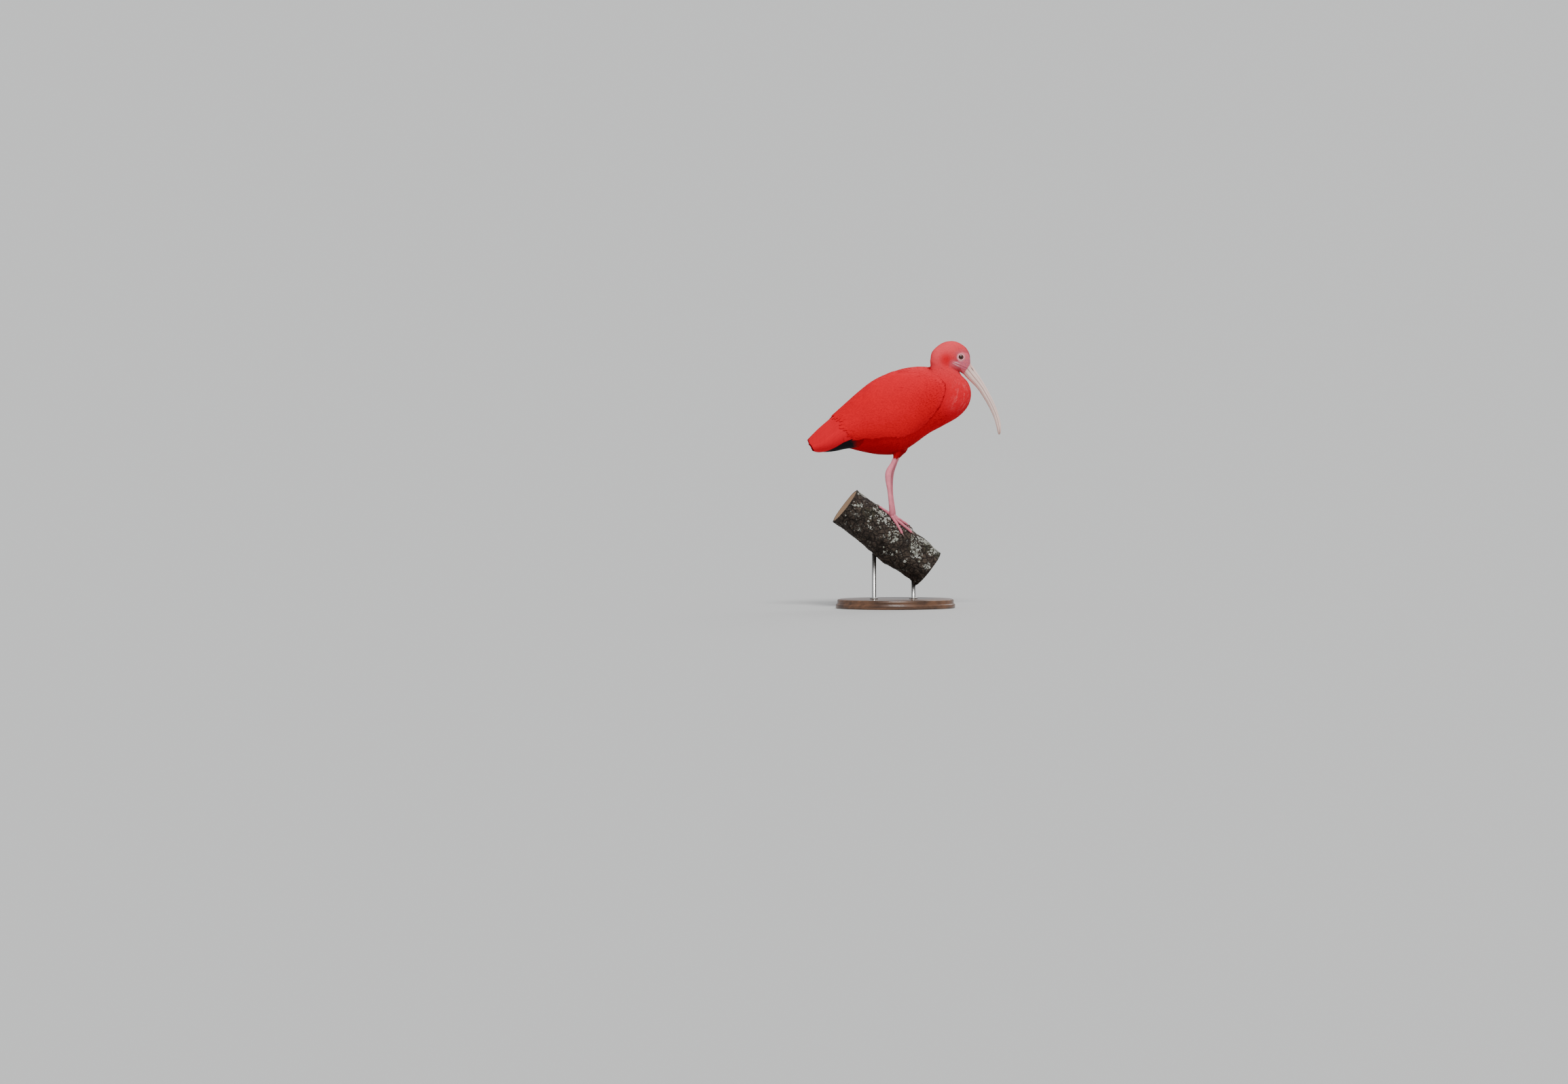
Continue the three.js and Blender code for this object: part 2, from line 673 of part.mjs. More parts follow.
/** The tail's stump of coverts and its feathers, the middle pair on top. */
function tail(draw) {
  const root = new THREE.Vector3(TAIL.rootX, 0, TAIL.rootZ);
  const end = new THREE.Vector3(TAIL.endX, 0, TAIL.endZ);
  const along = end.clone().sub(root).normalize();
  const up = new THREE.Vector3(along.z, 0, -along.x);
  const stump = loft(
    [
      [0, 9.5, 6.5],
      [9, 9.5, 5],
      [20, 8.5, 3.2],
    ].map(([reach, half, deep], i) => {
      const first = i ? null : endRing(FLESH, 0, 16, -GAP);
      if (first) return first;
      return Array.from({ length: 16 }, (_, j) => {
        const turn = (2 * Math.PI * j) / 16;
        return root
          .clone()
          .addScaledVector(along, reach)
          .addScaledVector(up, deep * Math.cos(turn))
          .add(new THREE.Vector3(0, -half * Math.sin(turn), 0));
      });
    }),
  );
  const vanes = [-1, 1].flatMap((side) =>
    spread(0, 1, TAIL.feathers / 2).map((t) => {
      const reach = root.distanceTo(end) - 4 * t - 2 * draw();
      const place = (q, across, above) => {
        const point = root
          .clone()
          .addScaledVector(along, mix(6, reach, q))
          .addScaledVector(up, mix(0.5 - 2 * t, 2 - 5.5 * t, q) + above);
        const out = mix(2 + 3 * t, 3.2 + TAIL.fan * t, q) + across;
        point.y = side * Math.max(out, GAP / 2);
        return point;
      };
      return vane(place, TAIL.width, 0, SHORT_VANE);
    }),
  );
  return fuse([stump, ...vanes]);
}

// The display stand, in its own frame

const BASE = { long: 212, wide: 156, thick: 16, bevel: 3 };
const ROD_RADIUS = 4;
const ROD_AHEAD = { front: 40, back: -30 }; // from the standing point

function standBase() {
  const outline = new THREE.Shape();
  outline.absellipse(0, 0, BASE.long / 2 - BASE.bevel, BASE.wide / 2 - BASE.bevel, 0, 2 * Math.PI);
  const geometry = new THREE.ExtrudeGeometry(outline, {
    depth: BASE.thick - 2 * BASE.bevel,
    bevelThickness: BASE.bevel,
    bevelSize: BASE.bevel,
    bevelSegments: 2,
    curveSegments: 20,
  });
  return geometry.translate(0, 0, BASE.bevel);
}

/** A rod from the base up to the branch, its end shaped to the bark. */
function standRod(ahead, bark) {
  const tall = STAND_HEIGHT;
  const floor = BASE.thick + GAP - STAND_HEIGHT;
  const rod = new THREE.CylinderGeometry(ROD_RADIUS, ROD_RADIUS, tall, 16)
    .rotateX(Math.PI / 2)
    .translate(ahead, 0, floor + tall / 2);
  const pieces = solidFrom(rod).subtract(bark).decompose();
  return pieces.sort((a, b) => a.boundingBox().min[2] - b.boundingBox().min[2])[0];
}

// The torso and the neck

const TORSO_SIDES = 28;

function neck() {
  const inner = spread(TORSO_END, NECK_END, 6)
    .slice(1, -1)
    .map((k) => skinRing(k, 24));
  return loft([endRing(FLESH, TORSO_END, 24, GAP), ...inner, endRing(FLESH, NECK_END, 24, 0)]);
}

/** The torso, sunk under both wings so that they lie in it with a gap all round. */
function torso() {
  const whole = skinSolid(FLESH, spread(0, TORSO_END, 19), TORSO_SIDES);
  const inner = skinSolid(CLOAK, ARM_RIBS, ARM_SIDES, () => -CLOAK_DEPTH - GAP);
  const outline = outset([...armOutline(), ...FEATHERS_BACK], GAP);
  const right = prism(outline, -0.01, WING_OUTER).subtract(inner);
  return whole.subtract(right).subtract(right.mirror([0, 1, 0]));
}

// The whole model

const model = new THREE.Group();
model.name = "scarlet_ibis";

const bird = new THREE.Group();
bird.name = "bird_and_perch";
bird.position.set(STAND_AHEAD, 0, STAND_HEIGHT);
model.add(bird);

/** Adds a named mesh of a solid or geometry, in the bird's frame or another group's. */
function addNode(name, shape, finish, group = bird) {
  const geometry = geometryFrom(shape.isBufferGeometry ? solidFrom(shape) : shape);
  const mesh = new THREE.Mesh(geometry, new THREE.MeshStandardMaterial({ metalness: 0, ...finish }));
  mesh.name = name;
  group.add(mesh);
}

const bark = branch();
const barkGrown = branch(GAP);
const torsoGrown = skinSolid(FLESH, spread(0, TORSO_END, 19), TORSO_SIDES, () => GAP);

addNode("torso", torso(), SCARLET);
addNode("neck", neck(), SCARLET);
addNode("head", head(), CORAL);
addNode("bill_upper", upperMandible(), BILL_PINK);
addNode("bill_lower", mandible(-1), BILL_PINK);
addNode("wing_right", rightWing(draws(11)), SCARLET);
addNode("wing_left", rightWing(draws(29)).mirror([0, 1, 0]), SCARLET);
addNode("tail", tail(draws(5)), SCARLET);

for (const [name, leg] of Object.entries(LEG)) {
  addNode(`eye_${name}`, eyeball(leg.side, EYE_RADIUS), EYE_BROWN);
  addNode(`thigh_${name}`, thigh(leg, torsoGrown), SCARLET);
  addNode(`tibia_${name}`, tibia(leg), LEG_PINK);
  addNode(`tarsus_${name}`, tarsus(leg), LEG_PINK);
  addNode(`foot_${name}`, foot(leg), LEG_PINK);
  for (const toe of TOES) addNode(`claw_${name}_${toe.name}`, clawSolid(leg, toe), CLAW_GREY);
}

addNode("perch", bark, BARK);
addNode("stand_base", standBase(), STAND_WOOD, model);
addNode("stand_rod_front", standRod(ROD_AHEAD.front, barkGrown), STEEL);
addNode("stand_rod_back", standRod(ROD_AHEAD.back, barkGrown), STEEL);

export default model;
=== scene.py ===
"""A life-size scarlet ibis on a cut branch, with a plain display stand, dressed over its solid frame."""

import itertools
import logging
import math
from dataclasses import dataclass
from enum import Enum
from typing import Callable, Optional, Sequence, Union

import bpy
import numpy as np
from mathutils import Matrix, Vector


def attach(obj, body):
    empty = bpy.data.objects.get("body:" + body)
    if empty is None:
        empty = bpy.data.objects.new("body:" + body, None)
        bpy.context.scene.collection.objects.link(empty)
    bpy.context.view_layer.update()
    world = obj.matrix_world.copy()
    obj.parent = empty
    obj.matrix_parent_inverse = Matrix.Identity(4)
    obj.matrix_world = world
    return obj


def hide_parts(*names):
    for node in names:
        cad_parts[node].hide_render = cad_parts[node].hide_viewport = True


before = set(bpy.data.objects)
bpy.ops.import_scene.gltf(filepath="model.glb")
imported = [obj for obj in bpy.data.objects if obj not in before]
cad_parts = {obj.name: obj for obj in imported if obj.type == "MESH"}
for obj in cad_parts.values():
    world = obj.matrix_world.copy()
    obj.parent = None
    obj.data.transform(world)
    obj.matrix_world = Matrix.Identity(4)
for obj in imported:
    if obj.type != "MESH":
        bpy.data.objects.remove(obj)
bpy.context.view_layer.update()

Array = np.ndarray
Material = bpy.types.Material
Socket = bpy.types.NodeSocket
Draw = np.random.Generator
# A value that is the same at all points, or is worked out from the points
Field = Union[float, Callable[[Array], Array]]
log = logging.getLogger("ibis")

# The bird is worked out in millimetres, in its own frame: the origin is the point of the branch that it
# stands over, +X the way it faces, +Y its left.
STAND_AHEAD = -8.0
STAND_HEIGHT = 166.0
MM_PER_METRE = 1000.0
BODY = "root"
PHOTO_WIDTH = 2309
PHOTO_HEIGHT = 1596


class Side(Enum):
    """The bird's two sides, as the sign of Y."""

    LEFT = 1
    RIGHT = -1

    @property
    def label(self) -> str:
        """The side's word in the names of pieces."""
        return self.name.lower()


class Slot(Enum):
    """Names for the kinds of material that the pieces use."""

    BODY = "body_feathers"
    HEAD = "head_feathers"
    WING = "wing_feathers"
    BILL = "bill_horn"
    EYE = "eye"
    LEG = "leg_skin"
    CLAW = "claw_horn"
    BARK = "bark"
    WOOD = "stand_wood"
    STEEL = "rod_steel"


# Numbers


def ease(t: Array) -> Array:
    """A smooth step from 0 to 1."""
    t = np.clip(t, 0.0, 1.0)
    return t * t * (3.0 - 2.0 * t)


def ramp(value: Array, low: float, high: float) -> Array:
    """A smooth step as value goes from low to high."""
    return ease((np.asarray(value, float) - low) / (high - low))


def bell(value: Array, middle: float, width: float) -> Array:
    """1 at the middle, falling smoothly away on both sides."""
    return np.exp(-(((value - middle) / width) ** 2))


def mix(a, b, t):
    """A value between a and b."""
    return a + (b - a) * t


def unit(v: Array) -> Array:
    """Vectors scaled to length 1."""
    return v / np.maximum(np.linalg.norm(v, axis=-1, keepdims=True), 1e-9)


def grid(a: Array, b: Array) -> list[Array]:
    """Every pair of a value of a, by rows, and a value of b, by columns."""
    return np.meshgrid(a, b, indexing="ij")


def turns(count: int) -> Array:
    """Even angles of one full turn."""
    return np.linspace(0, 2 * math.pi, count, endpoint=False)


def value_at(field: Field, p: Array) -> Array:
    """A field's values at points."""
    return field(p) if callable(field) else np.full(len(p), field)


def spline(rows: Array, k: Array) -> Array:
    """Catmull-Rom values at k along the rows of a table."""
    last = len(rows) - 1
    i = np.clip(np.floor(k).astype(int), 0, last - 1)
    t = (k - i)[..., None]
    a, b, c, d = (rows[np.clip(i + n, 0, last)] for n in (-1, 0, 1, 2))
    return b + 0.5 * t * (c - a + t * (2 * a - 5 * b + 4 * c - d + t * (3 * (b - c) + d - a)))


def lattice_noise(p: Array, seed: int) -> Array:
    """Smooth noise from -1 to 1 at points, from hashed values on a unit grid."""
    base = np.floor(p).astype(np.int64)
    f = ease(p - base)
    total = np.zeros(p.shape[:-1])
    for corner in itertools.product((0, 1), repeat=3):
        o = np.array(corner[::-1])
        g = base + o
        h = (g[..., 0] * 73856093) ^ (g[..., 1] * 19349663) ^ (g[..., 2] * 83492791) ^ (seed * 2654435)
        h = (h ^ (h >> 13)) * 1274126177 & 0x7FFFFFFF
        weight = np.prod(np.where(o, f, 1.0 - f), axis=-1)
        total += weight * ((h & 0xFFFF) / 32767.5 - 1.0)
    return total


def fractal(p: Array, seed: int, octaves: int = 4) -> Array:
    """Several octaves of noise added up."""
    return sum(lattice_noise(p * 2.0**i + 7.3 * i, seed + i) * 0.5**i for i in range(octaves))


def inside(outline: Array, x: Array, z: Array) -> Array:
    """Whether points lie inside a closed outline of XZ points."""
    result = np.zeros(np.shape(x), bool)
    for (x0, z0), (x1, z1) in zip(outline, np.roll(outline, -1, axis=0)):
        crosses = (z0 > z) != (z1 > z)
        rise = z1 - z0 if z1 != z0 else 1e-9
        result ^= crosses & (x < (x1 - x0) * (z - z0) / rise + x0)
    return result


def outline_distance(outline: Array, x: Array, z: Array) -> Array:
    """The distance from points to an open line of XZ points."""
    best = np.full(np.shape(x), np.inf)
    for (x0, z0), (x1, z1) in zip(outline[:-1], outline[1:]):
        dx, dz = x1 - x0, z1 - z0
        t = np.clip(((x - x0) * dx + (z - z0) * dz) / (dx * dx + dz * dz), 0, 1)
        best = np.minimum(best, np.hypot(x - x0 - t * dx, z - z0 - t * dz))
    return best


def depth_inside(outline: Array, x: Array, z: Array) -> Array:
    """The distance from points to a closed outline, positive inside it."""
    distance = outline_distance(np.vstack([outline, outline[:1]]), x, z)
    return np.where(inside(outline, x, z), distance, -distance)


# Colours, linear


def rgb(*values: float) -> Array:
    """A colour to tint meshes with."""
    return np.array(values)


def paint(tint: Array, colour: Array, share: Array) -> Array:
    """A tint with a colour mixed in by the share at each point."""
    return mix(tint, colour, np.asarray(share)[..., None])


SCARLET = rgb(0.70, 0.001, 0.012)
ROSE = rgb(0.78, 0.008, 0.024)
CORAL = rgb(0.90, 0.075, 0.095)
STREAK_PINK = rgb(0.92, 0.19, 0.20)
DEEP_RED = rgb(0.36, 0.001, 0.006)
TIP_BLACK = rgb(0.009, 0.009, 0.012)
FACE_PINK = rgb(0.72, 0.14, 0.19)
FACE_LILAC = rgb(0.48, 0.12, 0.22)
LID_PALE = rgb(0.84, 0.46, 0.47)
BILL_PALE = rgb(0.94, 0.71, 0.63)
LEG_PINK = rgb(0.90, 0.26, 0.33)


# The bird's form, the same as its solids'. A rib is (back x, back z, belly x, belly z, half width, low).

FLESH_RIBS = np.array([
    (-94, 133, -89, 118.5, 11, 0.5), (-80, 157, -76, 117, 23, 0.5), (-58, 192, -50, 110.5, 37, 0.52),
    (-34, 224, -20, 105.5, 45.5, 0.54), (-8, 246, 12, 107, 50, 0.54), (18, 256.5, 38, 122, 51, 0.52),
    (44, 260.5, 66, 142, 48.5, 0.5), (60, 260.5, 92, 156, 44, 0.5), (67, 260, 119, 171.5, 38.5, 0.5),
    (69, 260.5, 136, 189.5, 33, 0.5), (70, 262, 142.3, 211, 28, 0.5), (70, 266, 137, 232, 23, 0.5),
    (70, 273, 121, 249, 19.5, 0.5), (74, 288, 122, 250.8, 19, 0.5), (92, 302.6, 123.2, 250.5, 18.4, 0.5),
    (113, 305.2, 124.2, 249.8, 17.6, 0.5), (131, 296, 125.6, 248.7, 14.6, 0.5),
    (139.6, 282.5, 126.8, 248, 11, 0.5), (141.3, 266.5, 128, 247.2, 7.6, 0.5),
], float)
CLOAK_RIBS = np.array([
    (-153, 131, -139, 107.5, 18, 0.62), (-132, 152, -121, 107, 26, 0.6), (-110, 171, -101, 108.5, 32, 0.58),
    (-86, 192, -78, 112, 39, 0.57), (-60, 215, -50, 109.5, 45, 0.56), (-34, 235, -20, 105.5, 50, 0.54),
    (-8, 248, 12, 107, 53, 0.54), (18, 257, 38, 122, 54, 0.52), (44, 260.5, 66, 142, 51.5, 0.5),
    (60, 260.5, 92, 156, 47, 0.5), (67, 260, 119, 171.5, 41.5, 0.5), (69, 260.5, 136, 189.5, 36, 0.5),
], float)
NECK_START = 10.0
ARM_EDGE = np.array([
    (-58, 128.5), (-48, 135.5), (-24, 137.5), (4, 139.5), (28, 143.5), (48, 152), (64, 165), (78, 183),
    (89, 203), (94.5, 222), (93, 237), (84, 249), (62, 250), (38, 251.5), (14, 252.5),
], float)
WING_OUTLINE = np.vstack([ARM_EDGE, [(14, 290), (-180, 290), (-180, 95), (-80, 95), (-68, 118)]])


class RibSurface:
    """A form through slanted ribs: k runs from tail to head, angle from the back, 0, to the belly, pi.

    Positive angles are on the bird's right.
    """

    FULLNESS = 0.92
    STEP = 0.04
    # How near k may come to the first and last ribs where a normal is wanted, and a step off the seam
    MARGIN = 0.05
    NUDGE = 1e-4

    def __init__(self, ribs: Array) -> None:
        self.ribs = ribs
        self.samples = np.linspace(0, len(ribs) - 1, 400)
        r = spline(ribs, self.samples)
        middle = np.stack([r[:, 0] + r[:, 2], r[:, 1] + r[:, 3]], 1) / 2
        self.lengths = np.append(0, np.cumsum(np.linalg.norm(np.diff(middle, axis=0), axis=1)))

    @property
    def end(self) -> float:
        """The last rib's number."""
        return float(len(self.ribs) - 1)

    def within(self, k: Array) -> Array:
        """k kept just inside the surface's ends."""
        return np.clip(k, self.MARGIN, self.end - self.MARGIN)

    def at_length(self, s: Array) -> Array:
        """The rib number at a length from the first rib."""
        return np.interp(s, self.lengths, self.samples)

    def point(self, k: Array, angle: Array) -> Array:
        """Points of the surface."""
        k, angle = np.broadcast_arrays(np.asarray(k, float), np.asarray(angle, float))
        r = spline(self.ribs, k)
        down = ((1 - np.cos(angle)) / 2) ** (np.log(r[..., 5]) / math.log(0.5))
        out = np.sign(np.sin(angle)) * np.abs(np.sin(angle)) ** self.FULLNESS
        x, z = mix(r[..., 0], r[..., 2], down), mix(r[..., 1], r[..., 3], down)
        return np.stack([x, -r[..., 4] * out, z], -1)

    def ways(self, k: Array, angle: Array, step: float = STEP) -> tuple[Array, Array]:
        """How the point moves with k and with the angle."""
        along = (self.point(k + step, angle) - self.point(k - step, angle)) / (2 * step)
        around = (self.point(k, angle + step) - self.point(k, angle - step)) / (2 * step)
        return along, around

    def normal(self, k: Array, angle: Array) -> Array:
        """The outward normal."""
        along, around = self.ways(k, angle)
        return unit(np.cross(around, along))

    def safe_normal(self, k: Array, angle: Array) -> Array:
        """The outward normal, at the ends and the seam too."""
        return self.normal(self.within(k), angle + self.NUDGE)

    def lifted(self, k: Array, angle: Array, height: Array) -> Array:
        """Points at a height over the surface."""
        return self.point(k, angle) + self.normal(k, angle) * np.asarray(height)[..., None]


FLESH = RibSurface(FLESH_RIBS)
CLOAK = RibSurface(CLOAK_RIBS)


# Meshes


@dataclass
class Shape:
    """Points in the bird's frame, faces, and what each point carries."""

    points: Array
    faces: Array
    tint: Optional[Array] = None
    vane: Optional[Array] = None
    patch: Optional[Array] = None
    in_stand_frame: bool = False


def grid_faces(rows: int, columns: int, closed: bool = False) -> Array:
    """Quads of a grid of points, row by row; closed joins the last column to the first."""
    j = np.arange(rows - 1)[:, None]
    i = np.arange(columns if closed else columns - 1)[None, :]
    a, b = j * columns + i, j * columns + (i + 1) % columns
    return np.stack(np.broadcast_arrays(a, b, b + columns, a + columns), -1).reshape(-1, 4)


def repeated(faces: Array, count: int, points: int) -> Array:
    """The faces of many equal meshes, each of so many points."""
    return (faces[None] + (np.arange(count) * points)[:, None, None]).reshape(-1, 4)


def merge(shapes: Sequence[Shape]) -> Shape:
    """One shape from several that carry the same things."""
    start = np.cumsum([0] + [len(s.points) for s in shapes])

    def joined(name: str) -> Optional[Array]:
        values = [getattr(s, name) for s in shapes]
        return None if values[0] is None else np.concatenate(values)

    faces = np.concatenate([s.faces + n for s, n in zip(shapes, start)])
    return Shape(joined("points"), faces, joined("tint"), joined("vane"), joined("patch"))


def tube(rings: Array) -> Shape:
    """A tube through rings of points, closed at its ends by fans of folded quads."""
    rows, columns = rings.shape[:2]
    points = np.vstack([rings.reshape(-1, 3), rings[0].mean(0), rings[-1].mean(0)])
    n = np.arange(columns)
    m = (n + 1) % columns
    first = np.stack([np.full(columns, rows * columns), m, n, n], -1)
    last_row = (rows - 1) * columns
    last = np.stack([np.full(columns, rows * columns + 1), n + last_row, m + last_row, m + last_row], -1)
    return Shape(points, np.vstack([grid_faces(rows, columns, closed=True), first, last]))


def build(name: str, shape: Shape, material: Material, slot: Slot, *nodes: str, flip: bool = False) -> None:
    """Makes a Blender object from a shape, riding on the body and standing for its solids."""
    points = shape.points / MM_PER_METRE
    if not shape.in_stand_frame:
        points = points + np.array([STAND_AHEAD, 0.0, STAND_HEIGHT]) / MM_PER_METRE
    faces = shape.faces[:, ::-1] if flip else shape.faces
    folded = (faces[:, 2] == faces[:, 3]) | (faces[:, 0] == faces[:, 1])
    corners = [list(dict.fromkeys(f)) if fold else f for f, fold in zip(faces.tolist(), folded)]
    mesh = bpy.data.meshes.new(name)
    mesh.from_pydata(points.tolist(), [], corners)
    mesh.polygons.foreach_set("use_smooth", np.ones(len(mesh.polygons), bool))
    loops = np.empty(len(mesh.loops), np.int32)
    mesh.loops.foreach_get("vertex_index", loops)
    for label, values in (("OFBake", shape.patch), ("Vane", shape.vane)):
        if values is not None:
            layer = mesh.uv_layers.new(name=label)
            layer.data.foreach_set("uv", values[loops].astype(np.float32).ravel())
    if shape.tint is not None:
        layer = mesh.color_attributes.new("Tint", "FLOAT_COLOR", "POINT")
        rgba = np.concatenate([shape.tint, np.ones((len(points), 1))], 1)
        layer.data.foreach_set("color", rgba.astype(np.float32).ravel())
    mesh.materials.append(material)
    mesh.update()
    piece = bpy.data.objects.new(name, mesh)
    bpy.context.scene.collection.objects.link(piece)
    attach(piece, BODY)
    if nodes:
        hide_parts(*nodes)
    log.info("%s: %d faces", name, len(corners))


# Materials


class Nodes:
    """Short calls to add and link the nodes of one tree."""

    def __init__(self, tree: bpy.types.NodeTree) -> None:
        self.tree = tree

    def feed(self, socket: Socket, value) -> None:
        """Links a socket to another node's, or sets its value."""
        if isinstance(value, Socket):
            self.tree.links.new(value, socket)
        else:
            socket.default_value = value

    def add(self, kind: str, inputs: Optional[dict] = None, **settings) -> bpy.types.Node:
        """One node; each input is a value or another node's socket."""
        node = self.tree.nodes.new(kind)
        for key, value in settings.items():
            setattr(node, key, value)
        for key, value in (inputs or {}).items():
            self.feed(node.inputs[key], value)
        return node

    def math(self, operation: str, a, b=0.0) -> Socket:
        """One operation on one or two values."""
        return self.add("ShaderNodeMath", {0: a, 1: b}, operation=operation).outputs[0]

    def plus(self, a, b) -> Socket:
        """A sum."""
        return self.math("ADD", a, b)

    def times(self, a, b) -> Socket:
        """A product."""
        return self.math("MULTIPLY", a, b)

    def noise(self, vector, scale: float, detail: float = 4.0, roughness: float = 0.55) -> Socket:
        """Noise from 0 to 1."""
        values = {"Vector": vector, "Scale": scale, "Detail": detail, "Roughness": roughness}
        return self.add("ShaderNodeTexNoise", values).outputs[0]

    def cells(self, vector, scale: float) -> Socket:
        """The distance to the edges of irregular cells."""
        values = {"Vector": vector, "Scale": scale}
        return self.add("ShaderNodeTexVoronoi", values, feature="DISTANCE_TO_EDGE").outputs[0]

    def stretched(self, vector, scale: tuple[float, float, float]) -> Socket:
        """A place scaled by a factor along each axis."""
        return self.add("ShaderNodeMapping", {"Vector": vector, "Scale": scale}).outputs[0]

    def ramp(self, value, low: float, high: float, to_low: float = 0.0, to_high: float = 1.0) -> Socket:
        """A value moved from one range to another, smoothly and within it."""
        values = {0: value, 1: low, 2: high, 3: to_low, 4: to_high}
        return self.add("ShaderNodeMapRange", values, interpolation_type="SMOOTHSTEP").outputs[0]

    def blend(self, factor, a, b, mode: str = "MIX") -> Socket:
        """Two colours mixed."""
        node = self.add("ShaderNodeMix", {0: factor}, data_type="RGBA", blend_type=mode)
        for key, colour in ((6, a), (7, b)):
            self.feed(node.inputs[key], (*colour, 1.0) if isinstance(colour, tuple) else colour)
        return node.outputs[2]

    def shaded(self, colour, shade) -> Socket:
        """A colour multiplied by another."""
        return self.blend(1.0, colour, shade, "MULTIPLY")


@dataclass(frozen=True)
class Finish:
    """How a surface reflects: uniform values that are set straight on the shader."""

    roughness: float
    specular: float
    subsurface: float = 0.0
    coat: float = 0.0
    metallic: float = 0.0

    BLEED = (0.004, 0.0015, 0.001)

    def values(self) -> dict:
        """The shader's inputs."""
        return {
            "Roughness": self.roughness, "Specular IOR Level": self.specular, "Coat Weight": self.coat,
            "Subsurface Weight": self.subsurface, "Subsurface Radius": self.BLEED, "Metallic": self.metallic,
        }


class Surface(Nodes):
    """The nodes of one material, from what its meshes carry to its shader."""

    def __init__(self, name: str, finish: Finish) -> None:
        self.material = bpy.data.materials.new(name)
        self.material.use_nodes = True
        super().__init__(self.material.node_tree)
        self.shader = self.tree.nodes["Principled BSDF"]
        for label, value in finish.values().items():
            self.feed(self.shader.inputs[label], value)

    def tint(self) -> Socket:
        """The colour that the mesh carries."""
        return self.add("ShaderNodeAttribute", attribute_name="Tint").outputs["Color"]

    def vane(self) -> Socket:
        """The mesh's map of its own surface."""
        return self.add("ShaderNodeUVMap", uv_map="Vane").outputs[0]

    def place(self) -> Socket:
        """The place in metres."""
        return self.add("ShaderNodeTexCoord").outputs["Object"]

    def bump(self, height, strength: float, distance: float) -> None:
        """Bends the shader's normal by a height."""
        values = {"Strength": strength, "Distance": distance, "Height": height}
        self.feed(self.shader.inputs["Normal"], self.add("ShaderNodeBump", values).outputs[0])

    def coloured(self, colour: Socket) -> Material:
        """The material, its colour linked."""
        self.feed(self.shader.inputs["Base Color"], colour)
        return self.material


FLOAT = "NodeSocketFloat"
COLOUR = "NodeSocketColor"
VECTOR = "NodeSocketVector"


def effect(name: str, inputs: dict[str, str], outputs: dict[str, str], fill: Callable) -> bpy.types.NodeTree:
    """A shared shader node group.

    Args:
        name: the group's name.
        inputs: each input socket's name and kind.
        outputs: each output socket's name and kind.
        fill: called with the group's nodes and the input sockets; returns the output values by name.
    """
    tree = bpy.data.node_groups.new(name, "ShaderNodeTree")
    for way, sockets in (("INPUT", inputs), ("OUTPUT", outputs)):
        for label, kind in sockets.items():
            tree.interface.new_socket(label, in_out=way, socket_type=kind)
    entry = tree.nodes.new("NodeGroupInput")
    leave = tree.nodes.new("NodeGroupOutput")
    for label, value in fill(Nodes(tree), entry.outputs).items():
        tree.links.new(value, leave.inputs[label])
    return tree


def fill_barbs(n: Nodes, given) -> dict:
    """Fine barbs that run out and back from a feather's shaft in uneven bundles, and the shaft itself."""
    parts = n.add("ShaderNodeSeparateXYZ", {0: given["Vane"]})
    out = n.math("ABSOLUTE", parts.outputs[0])
    slant = n.math("SUBTRACT", parts.outputs[1], n.times(out, 0.9))
    wander = n.times(n.noise(given["Vane"], 1.3, 3.0), 0.12)
    wave = n.math("SINE", n.times(n.plus(slant, wander), given["Density"]))
    strand = {0: n.times(slant, 14.0), 1: n.times(out, 1.4), 2: parts.outputs[0]}
    bundles = n.ramp(n.noise(n.add("ShaderNodeCombineXYZ", strand).outputs[0], 1.0, 6.0, 0.7), 0.35, 0.7)
    barbs = n.plus(n.times(n.plus(n.times(wave, 0.5), 0.5), 0.35), n.times(bundles, 0.65))
    shaft = n.ramp(out, 0.02, 0.05, 1.0, 0.0)
    return {"Height": n.plus(barbs, n.times(shaft, 0.8)), "Barbs": barbs}


def fill_mottle(n: Nodes, given) -> dict:
    """A colour with soft lighter and darker clouds of two sizes."""
    coarse = n.ramp(n.noise(given["Place"], 22.0, 2.0), 0.32, 0.7, 0.93, 1.05)
    fine = n.ramp(n.noise(given["Place"], 520.0, 3.0), 0.3, 0.72, 0.95, 1.04)
    both = n.times(coarse, fine)
    grey = n.add("ShaderNodeCombineColor", {0: both, 1: both, 2: both}).outputs[0]
    return {"Color": n.blend(given["Amount"], given["Color"], n.shaded(given["Color"], grey))}


